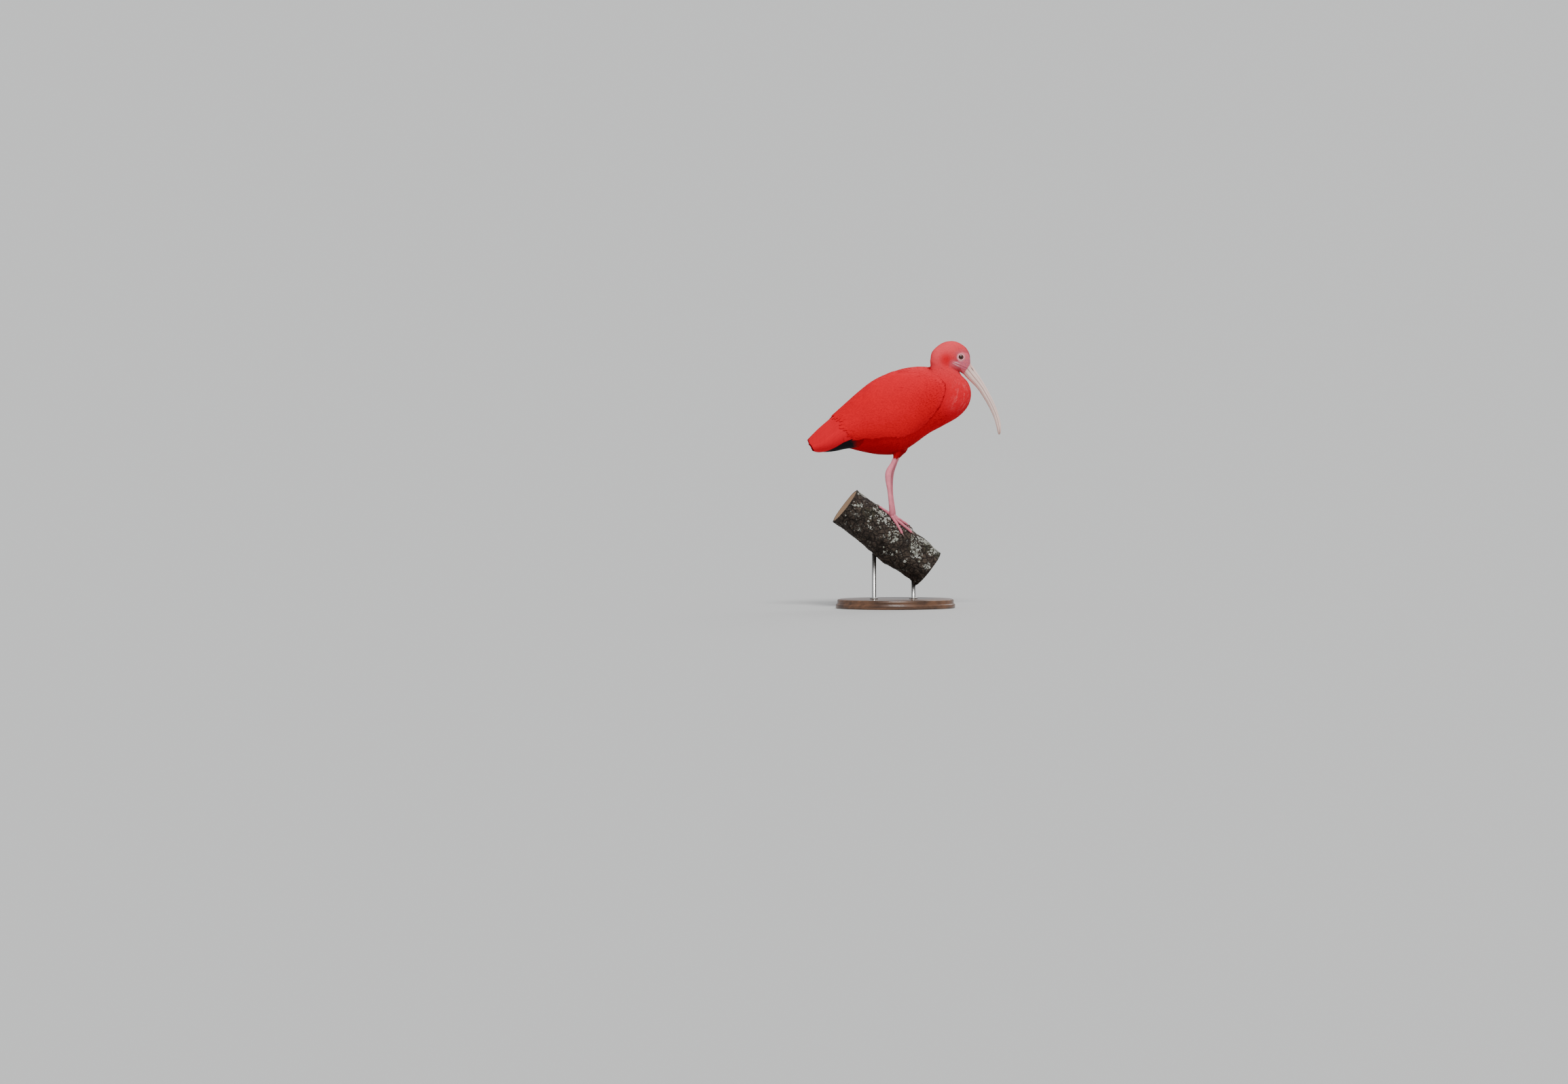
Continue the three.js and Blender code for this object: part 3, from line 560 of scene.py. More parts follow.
class Materials:
    """Every material of the model, made once."""

    def __init__(self) -> None:
        self.barbs = effect(
            "barbs", {"Vane": VECTOR, "Density": FLOAT}, {"Height": FLOAT, "Barbs": FLOAT}, fill_barbs
        )
        self.mottle = effect(
            "mottle", {"Color": COLOUR, "Place": VECTOR, "Amount": FLOAT}, {"Color": COLOUR}, fill_mottle
        )
        self.flight = self.feathers("flight_feathers", 130.0, Finish(0.65, 0.06))
        self.plumage = self.feathers("plumage", 150.0, Finish(0.75, 0.04))
        self.skin = self.bare("bare_skin", Finish(0.55, 0.3, subsurface=0.08), 1500.0, 0.2)
        self.bill = self.horn("bill", Finish(0.36, 0.45, subsurface=0.06))
        self.leg = self.bare("leg_scales", Finish(0.5, 0.36, subsurface=0.05), 1000.0, 0.25)
        self.claw = self.horn("claw", Finish(0.34, 0.45))
        self.eye = self.make_eye()
        self.bark = self.make_bark()
        self.end_grain = self.make_end_grain()
        self.lichen = self.make_lichen()
        self.wood = self.make_wood()
        self.steel = self.make_steel()

    def mottled(self, n: Surface, amount: float) -> Socket:
        """The mesh's tint with soft clouds."""
        values = {"Color": n.tint(), "Place": n.place(), "Amount": amount}
        return n.add("ShaderNodeGroup", values, node_tree=self.mottle).outputs[0]

    def feathers(self, name: str, density: float, finish: Finish) -> Material:
        """Feathers coloured by their own tint, with barbs and a shaft."""
        n = Surface(name, finish)
        mottled = self.mottled(n, 0.5)
        barbs = n.add("ShaderNodeGroup", node_tree=self.barbs)
        n.feed(barbs.inputs["Vane"], n.vane())
        n.feed(barbs.inputs["Density"], density)
        n.bump(barbs.outputs["Height"], 0.3, 0.00025)
        dark = n.shaded(mottled, (0.7, 0.6, 0.6))
        return n.coloured(n.blend(n.times(barbs.outputs["Barbs"], 0.6), mottled, dark))

    def bare(self, name: str, finish: Finish, scale: float, strength: float) -> Material:
        """Bare skin or leg scales: tinted, with small cells between fine creases."""
        n = Surface(name, finish)
        mottled, place = self.mottled(n, 1.0), n.place()
        crease = n.ramp(n.cells(place, scale), 0.0, 0.14)
        n.bump(n.plus(crease, n.times(n.noise(place, 1500.0), 0.4)), strength, 0.0002)
        return n.coloured(n.blend(crease, n.shaded(mottled, (0.82, 0.74, 0.76)), mottled))

    def horn(self, name: str, finish: Finish) -> Material:
        """Bill or claw horn: tinted, with faint growth lines along it and small scuffs."""
        n = Surface(name, finish)
        mottled, place = self.mottled(n, 0.7), n.place()
        lines = n.noise(n.stretched(n.vane(), (9.0, 0.35, 1.0)), 3.0, 6.0, 0.6)
        rough = n.ramp(n.noise(place, 240.0), 0.3, 0.7, finish.roughness - 0.06, finish.roughness + 0.12)
        n.feed(n.shader.inputs["Roughness"], rough)
        n.bump(n.plus(lines, n.times(n.noise(place, 900.0), 0.3)), 0.3, 0.0003)
        dark = n.shaded(mottled, (0.62, 0.5, 0.48))
        return n.coloured(n.blend(n.ramp(lines, 0.42, 0.72, 0.0, 0.6), mottled, dark))

    @staticmethod
    def make_eye() -> Material:
        """A dark glossy eye with a slightly lighter, streaked iris under the gloss."""
        n = Surface("eye", Finish(0.06, 0.36))
        streak = n.ramp(n.noise(n.place(), 1400.0, 3.0), 0.35, 0.7, 0.0, 0.5)
        return n.coloured(n.blend(streak, n.tint(), (0.035, 0.012, 0.008)))

    @staticmethod
    def make_bark() -> Material:
        """Dark, damp, flaking bark, mossy on top and dusted with grey lichen."""
        n = Surface("bark", Finish(0.85, 0.25))
        place = n.place()
        crack = n.ramp(n.cells(place, 95.0), 0.0, 0.16)
        grain = n.noise(place, 260.0, 8.0, 0.65)
        base = n.blend(n.ramp(grain, 0.3, 0.7), (0.012, 0.008, 0.006), n.tint())
        base = n.blend(n.ramp(crack, 0.0, 1.0, 0.75, 0.0), base, (0.006, 0.004, 0.003))
        dust = n.ramp(n.noise(place, 75.0, 7.0, 0.7), 0.58, 0.66)
        speck = n.times(dust, n.ramp(n.noise(place, 700.0, 3.0), 0.42, 0.6))
        n.bump(n.plus(n.times(crack, 0.7), n.plus(grain, n.times(speck, 0.3))), 0.7, 0.0016)
        return n.coloured(n.blend(speck, base, (0.42, 0.42, 0.38)))

    @staticmethod
    def make_end_grain() -> Material:
        """The sawn ends of the branch: growth rings, drying cracks and a dark rim under the bark."""
        n = Surface("end_grain", Finish(0.7, 0.25))
        vane = n.vane()
        radius = n.add("ShaderNodeSeparateXYZ", {0: vane}).outputs[0]
        wobble = n.times(n.noise(vane, 2.0, 4.0), 0.12)
        rings = n.math("SINE", n.times(n.plus(radius, wobble), 95.0))
        wood = n.blend(n.ramp(rings, -0.6, 1.0), (0.36, 0.22, 0.12), (0.20, 0.11, 0.055))
        check = n.ramp(n.noise(n.stretched(vane, (0.7, 26.0, 1.0)), 1.6, 5.0), 0.66, 0.74)
        wood = n.blend(n.times(check, n.ramp(radius, 0.1, 0.4)), wood, (0.05, 0.028, 0.016))
        n.bump(n.math("SUBTRACT", n.times(rings, 0.3), check), 0.5, 0.0006)
        return n.coloured(n.blend(n.ramp(radius, 0.88, 0.93), wood, (0.03, 0.02, 0.014)))

    @staticmethod
    def make_lichen() -> Material:
        """Crusty grey-white and grey-green lichen flakes."""
        n = Surface("lichen", Finish(0.9, 0.2))
        crumbs = n.noise(n.place(), 900.0, 6.0, 0.7)
        n.bump(crumbs, 0.8, 0.0008)
        return n.coloured(n.blend(n.ramp(crumbs, 0.35, 0.65), (0.10, 0.10, 0.08), n.tint()))

    @staticmethod
    def make_wood() -> Material:
        """Dark satin-varnished wood with its grain along X."""
        n = Surface("stand_wood", Finish(0.32, 0.45, coat=0.25))
        place = n.place()
        figure = n.noise(n.stretched(place, (2.2, 26.0, 26.0)), 3.0, 6.0, 0.6)
        pores = n.ramp(n.noise(n.stretched(place, (30.0, 900.0, 900.0)), 1.0, 2.0), 0.6, 0.7)
        colour = n.blend(n.ramp(figure, 0.32, 0.68), (0.055, 0.024, 0.012), (0.15, 0.066, 0.03))
        n.feed(n.shader.inputs["Roughness"], n.ramp(figure, 0.3, 0.7, 0.27, 0.4))
        n.bump(pores, 0.1, 0.0002)
        return n.coloured(n.blend(n.times(pores, 0.6), colour, (0.02, 0.009, 0.005)))

    @staticmethod
    def make_steel() -> Material:
        """Brushed steel with fine rings round each rod."""
        n = Surface("rod_steel", Finish(0.3, 0.5, metallic=1.0))
        rings = n.noise(n.stretched(n.place(), (60.0, 60.0, 5200.0)), 1.0, 2.0)
        n.feed(n.shader.inputs["Roughness"], n.ramp(rings, 0.3, 0.7, 0.24, 0.4))
        n.bump(rings, 0.08, 0.0001)
        return n.coloured(n.blend(rings, (0.50, 0.49, 0.47), (0.63, 0.62, 0.6)))


# Feathers


@dataclass(frozen=True)
class VaneForm:
    """A feather's mesh: its rows and columns, how it arches, how uneven its edge is, and where it narrows."""

    rows: int = 6
    columns: int = 5
    camber: float = 0.12
    ragged: float = 0.06
    blunt: float = 0.8

    def stations(self) -> tuple[Array, Array, Array]:
        """q along each row, a across each column, and the width's share at each row."""
        q = np.sin(np.linspace(0, math.pi / 2, self.rows)) ** 0.9
        a = np.linspace(-1, 1, self.columns)
        rounding = np.sqrt(1 - np.clip((q - self.blunt) / (1.0001 - self.blunt), 0, 1) ** 2.2)
        return q, a, np.maximum((0.5 + 0.5 * ease(q / 0.45)) * rounding, 0.05)

    def notches(self, count: int, start: float, draw: Draw) -> Array:
        """How unevenly each feather's columns end, as a share of its length."""
        q = self.stations()[0]
        return draw.normal(0, self.ragged, (count, 1, self.columns)) * ramp(q, start, 1.0)[None, :, None]


TUFT = VaneForm(5, 3, 0.06, 0.0, 0.3)
MM_PER_CENTIMETRE = 10.0
# A feather's half width and length on the coat's map
PATCH = (0.0015, 0.003)


def feather_mesh(form: VaneForm, points: Array, tint: Array, across: Array, along: Array, u: Array, v: Array):
    """One mesh of many feathers, given by feather, row and column.

    The vane's map is the feather's own surface in centimetres. The coat's map has each feather as a small
    patch at its root's place (u, v) on the unwrapped skin.
    """
    q, a, _ = form.stations()
    vane = np.stack(np.broadcast_arrays(across, along), -1) / MM_PER_CENTIMETRE
    patch_u = u[:, None, None] + PATCH[0] * a[None, None, :]
    patch_v = v[:, None, None] + PATCH[1] * q[None, :, None]
    patch = np.stack(np.broadcast_arrays(patch_u, patch_v), -1)
    faces = repeated(grid_faces(form.rows, form.columns), len(points), form.rows * form.columns)
    tint = np.broadcast_to(tint, points.shape)
    return Shape(points.reshape(-1, 3), faces, tint.reshape(-1, 3), vane.reshape(-1, 2), patch.reshape(-1, 2))


@dataclass
class Plot:
    """A skin on which a coat grows: points with outward normals, the coat's lie and places on the unwrap.

    They are a grid, or a row of feathers' roots. On a rib surface, spots holds each point's k and angle.
    """

    points: Array
    normals: Array
    lie: Array
    places: Array
    spots: Optional[Array] = None

    # Tries for each feather wished for, and the nearest that two may be as a share of the gap
    TRIES = 4.5
    NEAREST = 0.82

    @classmethod
    def of_surface(cls, surface: RibSurface, k0: float, k1: float, rows: int, columns: int) -> "Plot":
        """A stretch of a rib surface, its coat lying towards the tail."""
        k, angle = grid(np.linspace(k0, k1, rows), np.linspace(-math.pi, math.pi, columns))
        normals = surface.safe_normal(k, angle)
        lie = unit(surface.point(k - 0.15, angle) - surface.point(k + 0.15, angle))
        places = 0.03 + 0.94 * np.stack([angle / (2 * math.pi) + 0.5, k / surface.end], -1)
        return cls(surface.point(k, angle), normals, lie, places, np.stack([k, angle], -1))

    @classmethod
    def of_rings(cls, rings: Array, corner: tuple[float, float], span: float) -> "Plot":
        """A tube through rings, its coat lying from the first to the last."""
        closed = np.concatenate([rings, rings[:, :1]], 1)
        lie = unit(np.gradient(closed, axis=0))
        normals = unit(closed - closed.mean(1, keepdims=True))
        normals = unit(normals - lie * np.sum(normals * lie, -1, keepdims=True))
        v, u = grid(np.linspace(0, span, closed.shape[0]), np.linspace(0, span, closed.shape[1]))
        return cls(closed, normals, lie, np.stack([corner[0] + u, corner[1] + v], -1))

    def roots(self, gap: float, keep: Callable[[Array], Array], draw: Draw) -> "Plot":
        """Evenly spread roots.

        Args:
            gap: their spacing in millimetres.
            keep: gives the share of feathers that grow at points, from 0 to 1.
            draw: the source of chance.
        """
        p = self.points
        area = np.linalg.norm(np.cross(p[1:, :-1] - p[:-1, :-1], p[:-1, 1:] - p[:-1, :-1]), axis=-1)
        wish = keep((p[1:, 1:] + p[:-1, :-1]) / 2) * area / (gap * gap)
        total = wish.sum()
        count = int(total * self.TRIES)
        cell = np.searchsorted(np.cumsum(wish.ravel()) / total, draw.random(count))
        j, i = np.unravel_index(np.minimum(cell, wish.size - 1), wish.shape)
        f, g = draw.random((2, count, 1))

        def at(values: Array) -> Array:
            low = values[j, i] * (1 - g) + values[j, i + 1] * g
            high = values[j + 1, i] * (1 - g) + values[j + 1, i + 1] * g
            return low * (1 - f) + high * f

        points = at(p)
        limit = gap * self.NEAREST
        cells: dict[tuple[int, int, int], list[int]] = {}
        chosen = []
        for n, (x, y, z) in enumerate(np.floor(points / limit).astype(int).tolist()):
            steps = itertools.product((x - 1, x, x + 1), (y - 1, y, y + 1), (z - 1, z, z + 1))
            near = [m for step in steps for m in cells.get(step, ())]
            if near and np.min(np.sum((points[near] - points[n]) ** 2, 1)) < limit**2:
                continue
            cells.setdefault((x, y, z), []).append(n)
            chosen.append(n)
        spots = None if self.spots is None else at(self.spots)[chosen]
        normals, lie = unit(at(self.normals)[chosen]), unit(at(self.lie)[chosen])
        return Plot(points[chosen], normals, lie, at(self.places)[chosen], spots)


@dataclass
class Coat:
    """Small feathers over a plot of skin.

    The width is a share of the length. The depth is how far the roots lie under the skin's surface. Without a
    surface to follow, the feathers bend with a radius.
    """

    length: Field
    width: float
    depth: Field
    tint: Callable[[Array, Draw], Array]
    form: VaneForm = TUFT
    stray: float = 0.1
    surface: Optional[RibSurface] = None
    bend: float = 60.0

    # How far k may move along one feather
    MOST = 1.3

    def cover(self, plot: Plot, gap: float, keep: Callable[[Array], Array], draw: Draw) -> Shape:
        """One mesh of feathers over a plot, spaced by gap where keep lets them grow."""
        roots = plot.roots(gap, keep, draw)
        p, n, f = roots.points, roots.normals, roots.lie
        count = len(p)
        side = unit(np.cross(n, f))
        turn = draw.normal(0, self.stray, (count, 1))
        f = unit(f * np.cos(turn) + side * np.sin(turn))
        side = unit(np.cross(n, f))
        usual = value_at(self.length, p)
        length = (usual * draw.uniform(0.85, 1.15, count))[:, None, None]
        width = (self.width * usual * draw.uniform(0.85, 1.15, count))[:, None, None]
        depth = value_at(self.depth, p)[:, None, None]
        q, a, share = self.form.stations()
        q, a, share = q[None, :, None], a[None, None, :], share[None, :, None]
        along = q * length + self.form.notches(count, 0.5, draw) * length
        across = a * share * width / 2
        loose = length * draw.uniform(-0.006, 0.012, (count, 1, 1))
        height = loose * q - depth * (1 - ease(q * 1.15)) - self.form.camber * width * a**2 * share
        if self.surface:
            points = self.laid(roots.spots, f, side, along, across, height)
        else:
            height = height - along**2 / (2 * self.bend)
            moves = ((f, along), (side, across), (n, height))
            points = p[:, None, None] + sum(way[:, None, None] * reach[..., None] for way, reach in moves)
        base = self.tint(p, draw)[:, None, None]
        # Darker towards each feather's root, a painted shade where feathers overlap; each feather also gets
        # its own random tone
        root_shade_and_tone = mix(0.82, 1.03, ease(q * 1.5))[..., None] * draw.uniform(0.92, 1.05, (count, 1, 1, 1))
        return feather_mesh(self.form, points, base * root_shade_and_tone, across, along, *roots.places.T)

    def laid(self, spots: Array, f: Array, side: Array, along: Array, across: Array, height: Array) -> Array:
        """Points that follow the rib surface from each root, along and across the feather."""
        k, angle = spots.T
        by_k, by_angle = self.surface.ways(k, angle, 0.03)
        kk, ka, aa = (np.sum(v * w, -1) for v, w in ((by_k, by_k), (by_k, by_angle), (by_angle, by_angle)))
        root = kk * aa - ka**2 + 1e-6
        moved = []
        for way in (f, side):
            dk, da = np.sum(by_k * way, -1), np.sum(by_angle * way, -1)
            moved.append(((aa * dk - ka * da) / root, (kk * da - ka * dk) / root))
        (k_along, angle_along), (k_across, angle_across) = (np.array(m)[:, :, None, None] for m in moved)
        k = k[:, None, None] + np.clip(k_along * along, -self.MOST, self.MOST) + k_across * across
        angle = angle[:, None, None] + angle_along * along + angle_across * across
        return self.surface.lifted(self.surface.within(k), angle, height)


def wing_tint(p: Array, s: Array) -> Array:
    """Scarlet, rosier towards the wing's end, and rosier above: partly the feathers' own tone, partly painted
    light on the wing's top.
    """
    # The rosier top is partly painted light where the key light falls
    return paint(SCARLET, ROSE, np.maximum(0.8 * ramp(p[..., 2], 185.0, 262.0), 0.6 * ramp(s, 150.0, 50.0)))


def primary_tint(p: Array, s: Array) -> Array:
    """Deep red with a black end."""
    return paint(DEEP_RED, TIP_BLACK, ramp(s, 92.0, 80.0))


def run(s0: float, s1: float, angle0: float, angle1: float) -> Callable[[Array], tuple[Array, Array]]:
    """A straight run of lengths from the wing tips and of angles, for t from 0 to 1."""
    return lambda t: (mix(s0, s1, t), mix(angle0, angle1, t))


def secondary_tips(t: Array) -> tuple[Array, Array]:
    """Where the secondaries end: round the wing's end, then back up along its lower edge."""
    rest = np.clip((t - 0.55) / 0.45, 0, 1)
    return 3.0 + 72.0 * rest, mix(0.35, 2.2, np.minimum(t / 0.55, 1)) - 0.55 * np.sqrt(rest)


@dataclass
class Tier:
    """A tier of the wing's large feathers, from the innermost to the outermost.

    Roots and tips give lengths from the wing tips and angles, for t from 0 to 1. The tint is worked out from
    the points and their lengths from the wing tips. The feathers rise from the roots' height to their own
    over the first part of their length, sink.
    """

    count: int
    roots: Callable[[Array], tuple[Array, Array]]
    tips: Callable[[Array], tuple[Array, Array]]
    width: float
    height: float
    tilt: float
    form: VaneForm = VaneForm(20, 9, 0.03, 0.0, 0.84)
    sink: float = 0.3
    root_height: float = -4.6
    tint: Callable[[Array, Array], Array] = wing_tint

    LEAN = 0.08
    MIDDLE_GAP = 0.35
    # How far the tips stray, in millimetres and in angle
    STRAY = (0.6, 0.015)
    # The length and the angle that fill the coat's map
    MAPPED = (260.0, 2.9)

    def grow(self, draw: Draw) -> Shape:
        """The tier on the bird's right, as one mesh."""
        t = np.linspace(0, 1, self.count)
        s0, angle0 = self.roots(t)
        s1, angle1 = self.tips(t)
        s1, angle1 = (v + draw.uniform(-r, r, self.count) for v, r in zip((s1, angle1), self.STRAY))
        q, a, share = self.form.stations()
        s = mix(s0[:, None], s1[:, None], q[None])
        angle = mix(angle0[:, None], angle1[:, None], q[None])
        around = np.linalg.norm(CLOAK.ways(CLOAK.at_length(s), angle)[1], axis=-1)
        width = (self.width * draw.uniform(0.92, 1.08, self.count))[:, None, None]
        length = np.abs(s1 - s0)[:, None, None]
        q = q[None, :, None]
        across = a * share[None, :, None] * width / 2 - self.LEAN * self.width * (1 - np.abs(a))
        reach = s[:, :, None] + self.form.notches(self.count, 0.6, draw) * length
        base = mix(self.root_height, self.height, ease(q / self.sink))
        arch = self.form.camber * width * (1 - a**2)
        height = base + self.tilt * across + arch + draw.uniform(-0.12, 0.12, (self.count, 1, 1))
        angles = angle[:, :, None] + across / around[:, :, None]
        points = CLOAK.lifted(CLOAK.at_length(np.maximum(reach, 0.5)), angles, height)
        points[..., 1] = np.minimum(points[..., 1], -self.MIDDLE_GAP)
        tint = self.tint(points, reach) * draw.uniform(0.95, 1.04, (self.count, 1, 1, 1))
        # Painted shade: darker towards each feather's root and along the edge that its neighbour covers
        tint = tint * mix(0.8, 1.0, ease(q * 2.2))[..., None] * mix(0.82, 1.0, ramp(1 + a, 0.0, 0.4))[:, None]
        v, u = (0.05 + 0.9 * start / reach for start, reach in zip((s0, angle0), self.MAPPED))
        return feather_mesh(self.form, points, tint, across, q * length, u, v)


def mirrored(shape: Shape) -> Shape:
    """The same shape on the other side."""
    points = shape.points * np.array([1.0, -1.0, 1.0])
    return Shape(points, shape.faces[:, ::-1], shape.tint, shape.vane, shape.patch)


# Parts of the bird


@dataclass(frozen=True)
class Dressing:
    """What a part is dressed with: the materials, and its own source of chance."""

    materials: Materials
    draw: Draw


class Body(Dressing):
    """The skin and small feathers of the torso, neck, head and thighs."""

    EYE = np.array([122.6, 11.4, 277.6])
    EYE_RADIUS = 6.35
    EAR = (97.5, 276.0)
    FACE = np.array([
        (118.5, 284), (126, 287), (136, 285), (142, 273), (142, 262), (129, 246), (125, 249.5), (122.5, 257),
        (107, 266.5), (108, 270), (117.5, 271),
    ], float)
    MOUTH = np.array([(108.5, 268.2), (121, 262.8), (134, 257)], float)
    # The lids' thin rim on the eye and the broad pale fold round it: radius, half width, flatness, how far it
    # follows the head's side, how wavy it is, and colour
    LID_RINGS = ((4.45, 0.42, 0.8, 0.45, 0.0, FACE_PINK), (5.4, 0.85, 0.55, 0.85, 1.0, LID_PALE))
    # The skin of the thighs and of the tail's stump lies this far under their feathers' surface
    UNDER = 1.6
    THIGH_LENGTH = 5.5

    @classmethod
    def bareness(cls, p: Array) -> Array:
        """1 on the bare face and round the eyes, 0 where feathers grow."""
        x, z = p[..., 0], p[..., 2]
        face = ramp(depth_inside(cls.FACE, x, z), -1.6, 2.2)
        return np.maximum(face, ramp(np.hypot(x - cls.EYE[0], z - cls.EYE[2]), 8.6, 6.8))

    @classmethod
    def tint(cls, p: Array, draw: Draw) -> Array:
        """Scarlet, deeper below (partly painted shade) and rosier above (partly painted light), coral on the
        head, pale streaks down the neck's front.
        """
        x, z = p[..., 0], p[..., 2]
        # Deeper towards the belly: partly the plumage's own tone, partly painted shade under the body
        colour = paint(DEEP_RED, SCARLET, mix(0.15, 1.0, ramp(z, 98.0, 160.0)))
        # Rosier on the top and the breast's front: partly the plumage's own tone, partly painted light
        rosy_and_lit = np.maximum(0.8 * ramp(z, 205.0, 262.0), ramp(x, 70.0, 125.0) * ramp(z, 160.0, 205.0))
        colour = paint(colour, ROSE, rosy_and_lit)
        ear = np.exp(-(((x - cls.EAR[0]) ** 2 + (z - cls.EAR[1]) ** 2) / 95.0))
        head = ramp(z + 0.3 * (x - 100), 222.0, 268.0)
        # Coral strongest on the crown: partly the head's own colour, partly painted light on the head's top
        lit_crown = mix(0.45, 1.0, ramp(z + 0.35 * np.abs(x - 100), 262.0, 292.0))
        colour = paint(colour, CORAL, head * lit_crown * (1 - 0.85 * ear))
        colour = paint(colour, SCARLET, 0.55 * ear)
        front = ramp(x, 96.0, 126.0) * ramp(z, 172.0, 205.0) * ramp(z, 250.0, 232.0)
        strand = fractal(p / np.array([3.0, 1.6, 8.0]), 61, 2)
        streak = front * ramp(strand, -0.2, 0.9) * draw.uniform(0.15, 0.5, x.shape)
        colour = paint(colour, STREAK_PINK, streak)
        return paint(colour, FACE_PINK, 0.65 * ramp(depth_inside(cls.FACE, x, z), -7.0, 0.5))

    def skin(self) -> None:
        """One skin from the tail's root to the bill's base, with the bare face's folds and the lids."""
        ks = np.concatenate([np.linspace(0, NECK_START, 120), np.linspace(NECK_START, FLESH.end, 190)[1:]])
        k, angle = grid(ks, turns(220))
        p = FLESH.point(k, angle)
        bare = self.bareness(p)
        radius = np.hypot(p[..., 0] - self.EYE[0], p[..., 2] - self.EYE[2])
        line = outline_distance(self.MOUTH, p[..., 0], p[..., 2])
        lateral = np.abs(p[..., 1]) > 8
        lift = -mix(1.3, 0.5, ramp(k, 8.5, 12.5)) * (1 - 0.75 * bare)
        lift += lateral * (0.35 * bell(radius, 7.7, 0.8) - 2.4 * ramp(radius, 4.9, 4.1))
        lift += lateral * (0.25 * bell(line, 1.7, 0.9) - 0.4 * bell(line, 0.0, 0.6))
        lift += bare * 0.22 * lattice_noise(p * np.array([0.5, 0.35, 0.9]), 3)
        body = tube(p + FLESH.safe_normal(k, angle) * lift[..., None])
        # Painted shade: the skin under the feathers is darkened to three quarters of their tint
        tint = self.tint(p, self.draw) * 0.75
        bald = paint(FACE_PINK, FACE_LILAC, ramp(lattice_noise(p / 3.2, 11), -0.2, 0.8) * 0.6)
        bald = paint(bald, CORAL, 0.35 * ramp(p[..., 2], 262.0, 285.0))
        bald = paint(bald, LID_PALE, 0.35 * bell(radius, 6.6, 1.6))
        pale = bell(line, 2.0, 1.0) * ramp(p[..., 0], 123, 117) * ramp(p[..., 0], 106, 109)
        bald = paint(bald, LID_PALE, pale * 0.85)
        tint = paint(tint, bald, bare)
        # Painted shade: a darker line along the mouth's fold on the head's sides
        tint = paint(tint, DEEP_RED, 0.3 * lateral * bell(line, 0.0, 0.5))
        # The tube's two end points get the face's pink at half: painted shade at the tail's root and the
        # bill's base
        body.tint = np.vstack([tint.reshape(-1, 3), np.tile(FACE_PINK * 0.5, (2, 1))])
        lids = [self.lid(side, *ring) for side in Side for ring in self.LID_RINGS]
        hidden = [leg.thigh_rings(-self.UNDER) for leg in LEGS] + [Tail.rings(-self.UNDER)]
        stubs = [tube(rings) for rings in hidden]
        for stub in stubs:
            # Painted shade: the hidden skin of the thighs and the tail's stump is half the scarlet, dark
            # under their feathers
            stub.tint = np.tile(SCARLET * 0.5, (len(stub.points), 1))
        nodes = ("torso", "neck", "head", "thigh_left", "thigh_right")
        build("skin", merge([body, *lids, *stubs]), self.materials.skin, Slot.BODY, *nodes)

    @staticmethod
    def side_reach(x: Array, z: Array) -> Array:
        """How far out the head's side lies at points of XZ near the eye."""
        k, angle = grid(np.linspace(13.5, 17.0, 110), np.linspace(0.3, 2.2, 110))
        p = FLESH.point(k, angle).reshape(-1, 3)
        gaps = (p[:, 0] - x[:, None]) ** 2 + (p[:, 2] - z[:, None]) ** 2
        return -p[np.argmin(gaps, 1), 1]

    def lid(
        self, side: Side, radius: float, thick: float, flat: float, lie: float, wavy: float, colour: Array
    ) -> Shape:
        """One ring of the lids."""
        stretch_x, stretch_z = 1.03, 0.96
        rows, columns = 72, 14
        turn = turns(rows)
        t, u = grid(turn, turns(columns))
        ball = self.EYE[1] + math.sqrt(self.EYE_RADIUS**2 - 4.5**2)
        middle_x = self.EYE[0] + radius * np.cos(turn) * stretch_x
        middle_z = self.EYE[2] + radius * np.sin(turn) * stretch_z
        reach = np.maximum(mix(ball, self.side_reach(middle_x, middle_z), lie), ball)
        smooth = np.real(np.fft.ifft(np.fft.fft(reach) * (np.abs(np.fft.fftfreq(rows, 1 / rows)) < 4)))
        out = radius + thick * (1 + 0.06 * np.sin(11 * t + 2 * np.sin(3 * t)) * wavy) * np.cos(u)
        x = self.EYE[0] + out * np.cos(t) * stretch_x
        z = self.EYE[2] + out * np.sin(t) * stretch_z
        y = side.value * (smooth[:, None] + thick * flat * np.sin(u))
        faces = grid_faces(rows + 1, columns, closed=True) % (rows * columns)
        tint = colour * (1 - 0.2 * wavy * ramp(np.cos(u), 0.2, 1.0))[..., None]
        return Shape(np.stack([x, y, z], -1).reshape(-1, 3), faces, tint.reshape(-1, 3))

    @staticmethod
    def grows_on_body(p: Array) -> Array:
        """Where the torso's feathers grow: not under the wings."""
        x, y, z = p[..., 0], p[..., 1], p[..., 2]
        covered = inside(WING_OUTLINE, x, z) & (outline_distance(ARM_EDGE, x, z) > 5)
        return ~covered | ((z < 150) & (np.abs(y) < 22) & (x < -30))

    def coat(self) -> None:
        """All the small feathers, in pieces."""

        def head_length(p: Array) -> Array:
            return mix(1.6, 4.4, ramp(np.hypot(p[..., 0] - 130, p[..., 2] - 268), 8, 42))

        def head_depth(p: Array) -> Array:
            return mix(0.35, 0.5, ramp(head_length(p), 1.8, 3.6))

        def torso_length(p: Array) -> Array:
            return mix(8.5, 12.0, ramp(p[..., 2], 215, 130))

        def neck_length(p: Array) -> Array:
            return mix(5.5, 9.0, ramp(p[..., 2], 270, 200))

        def off_wings(p: Array) -> Array:
            return ~inside(WING_OUTLINE, p[..., 0], p[..., 2])

        def off_face(p: Array) -> Array:
            return ramp(self.bareness(p), 0.75, 0.1)

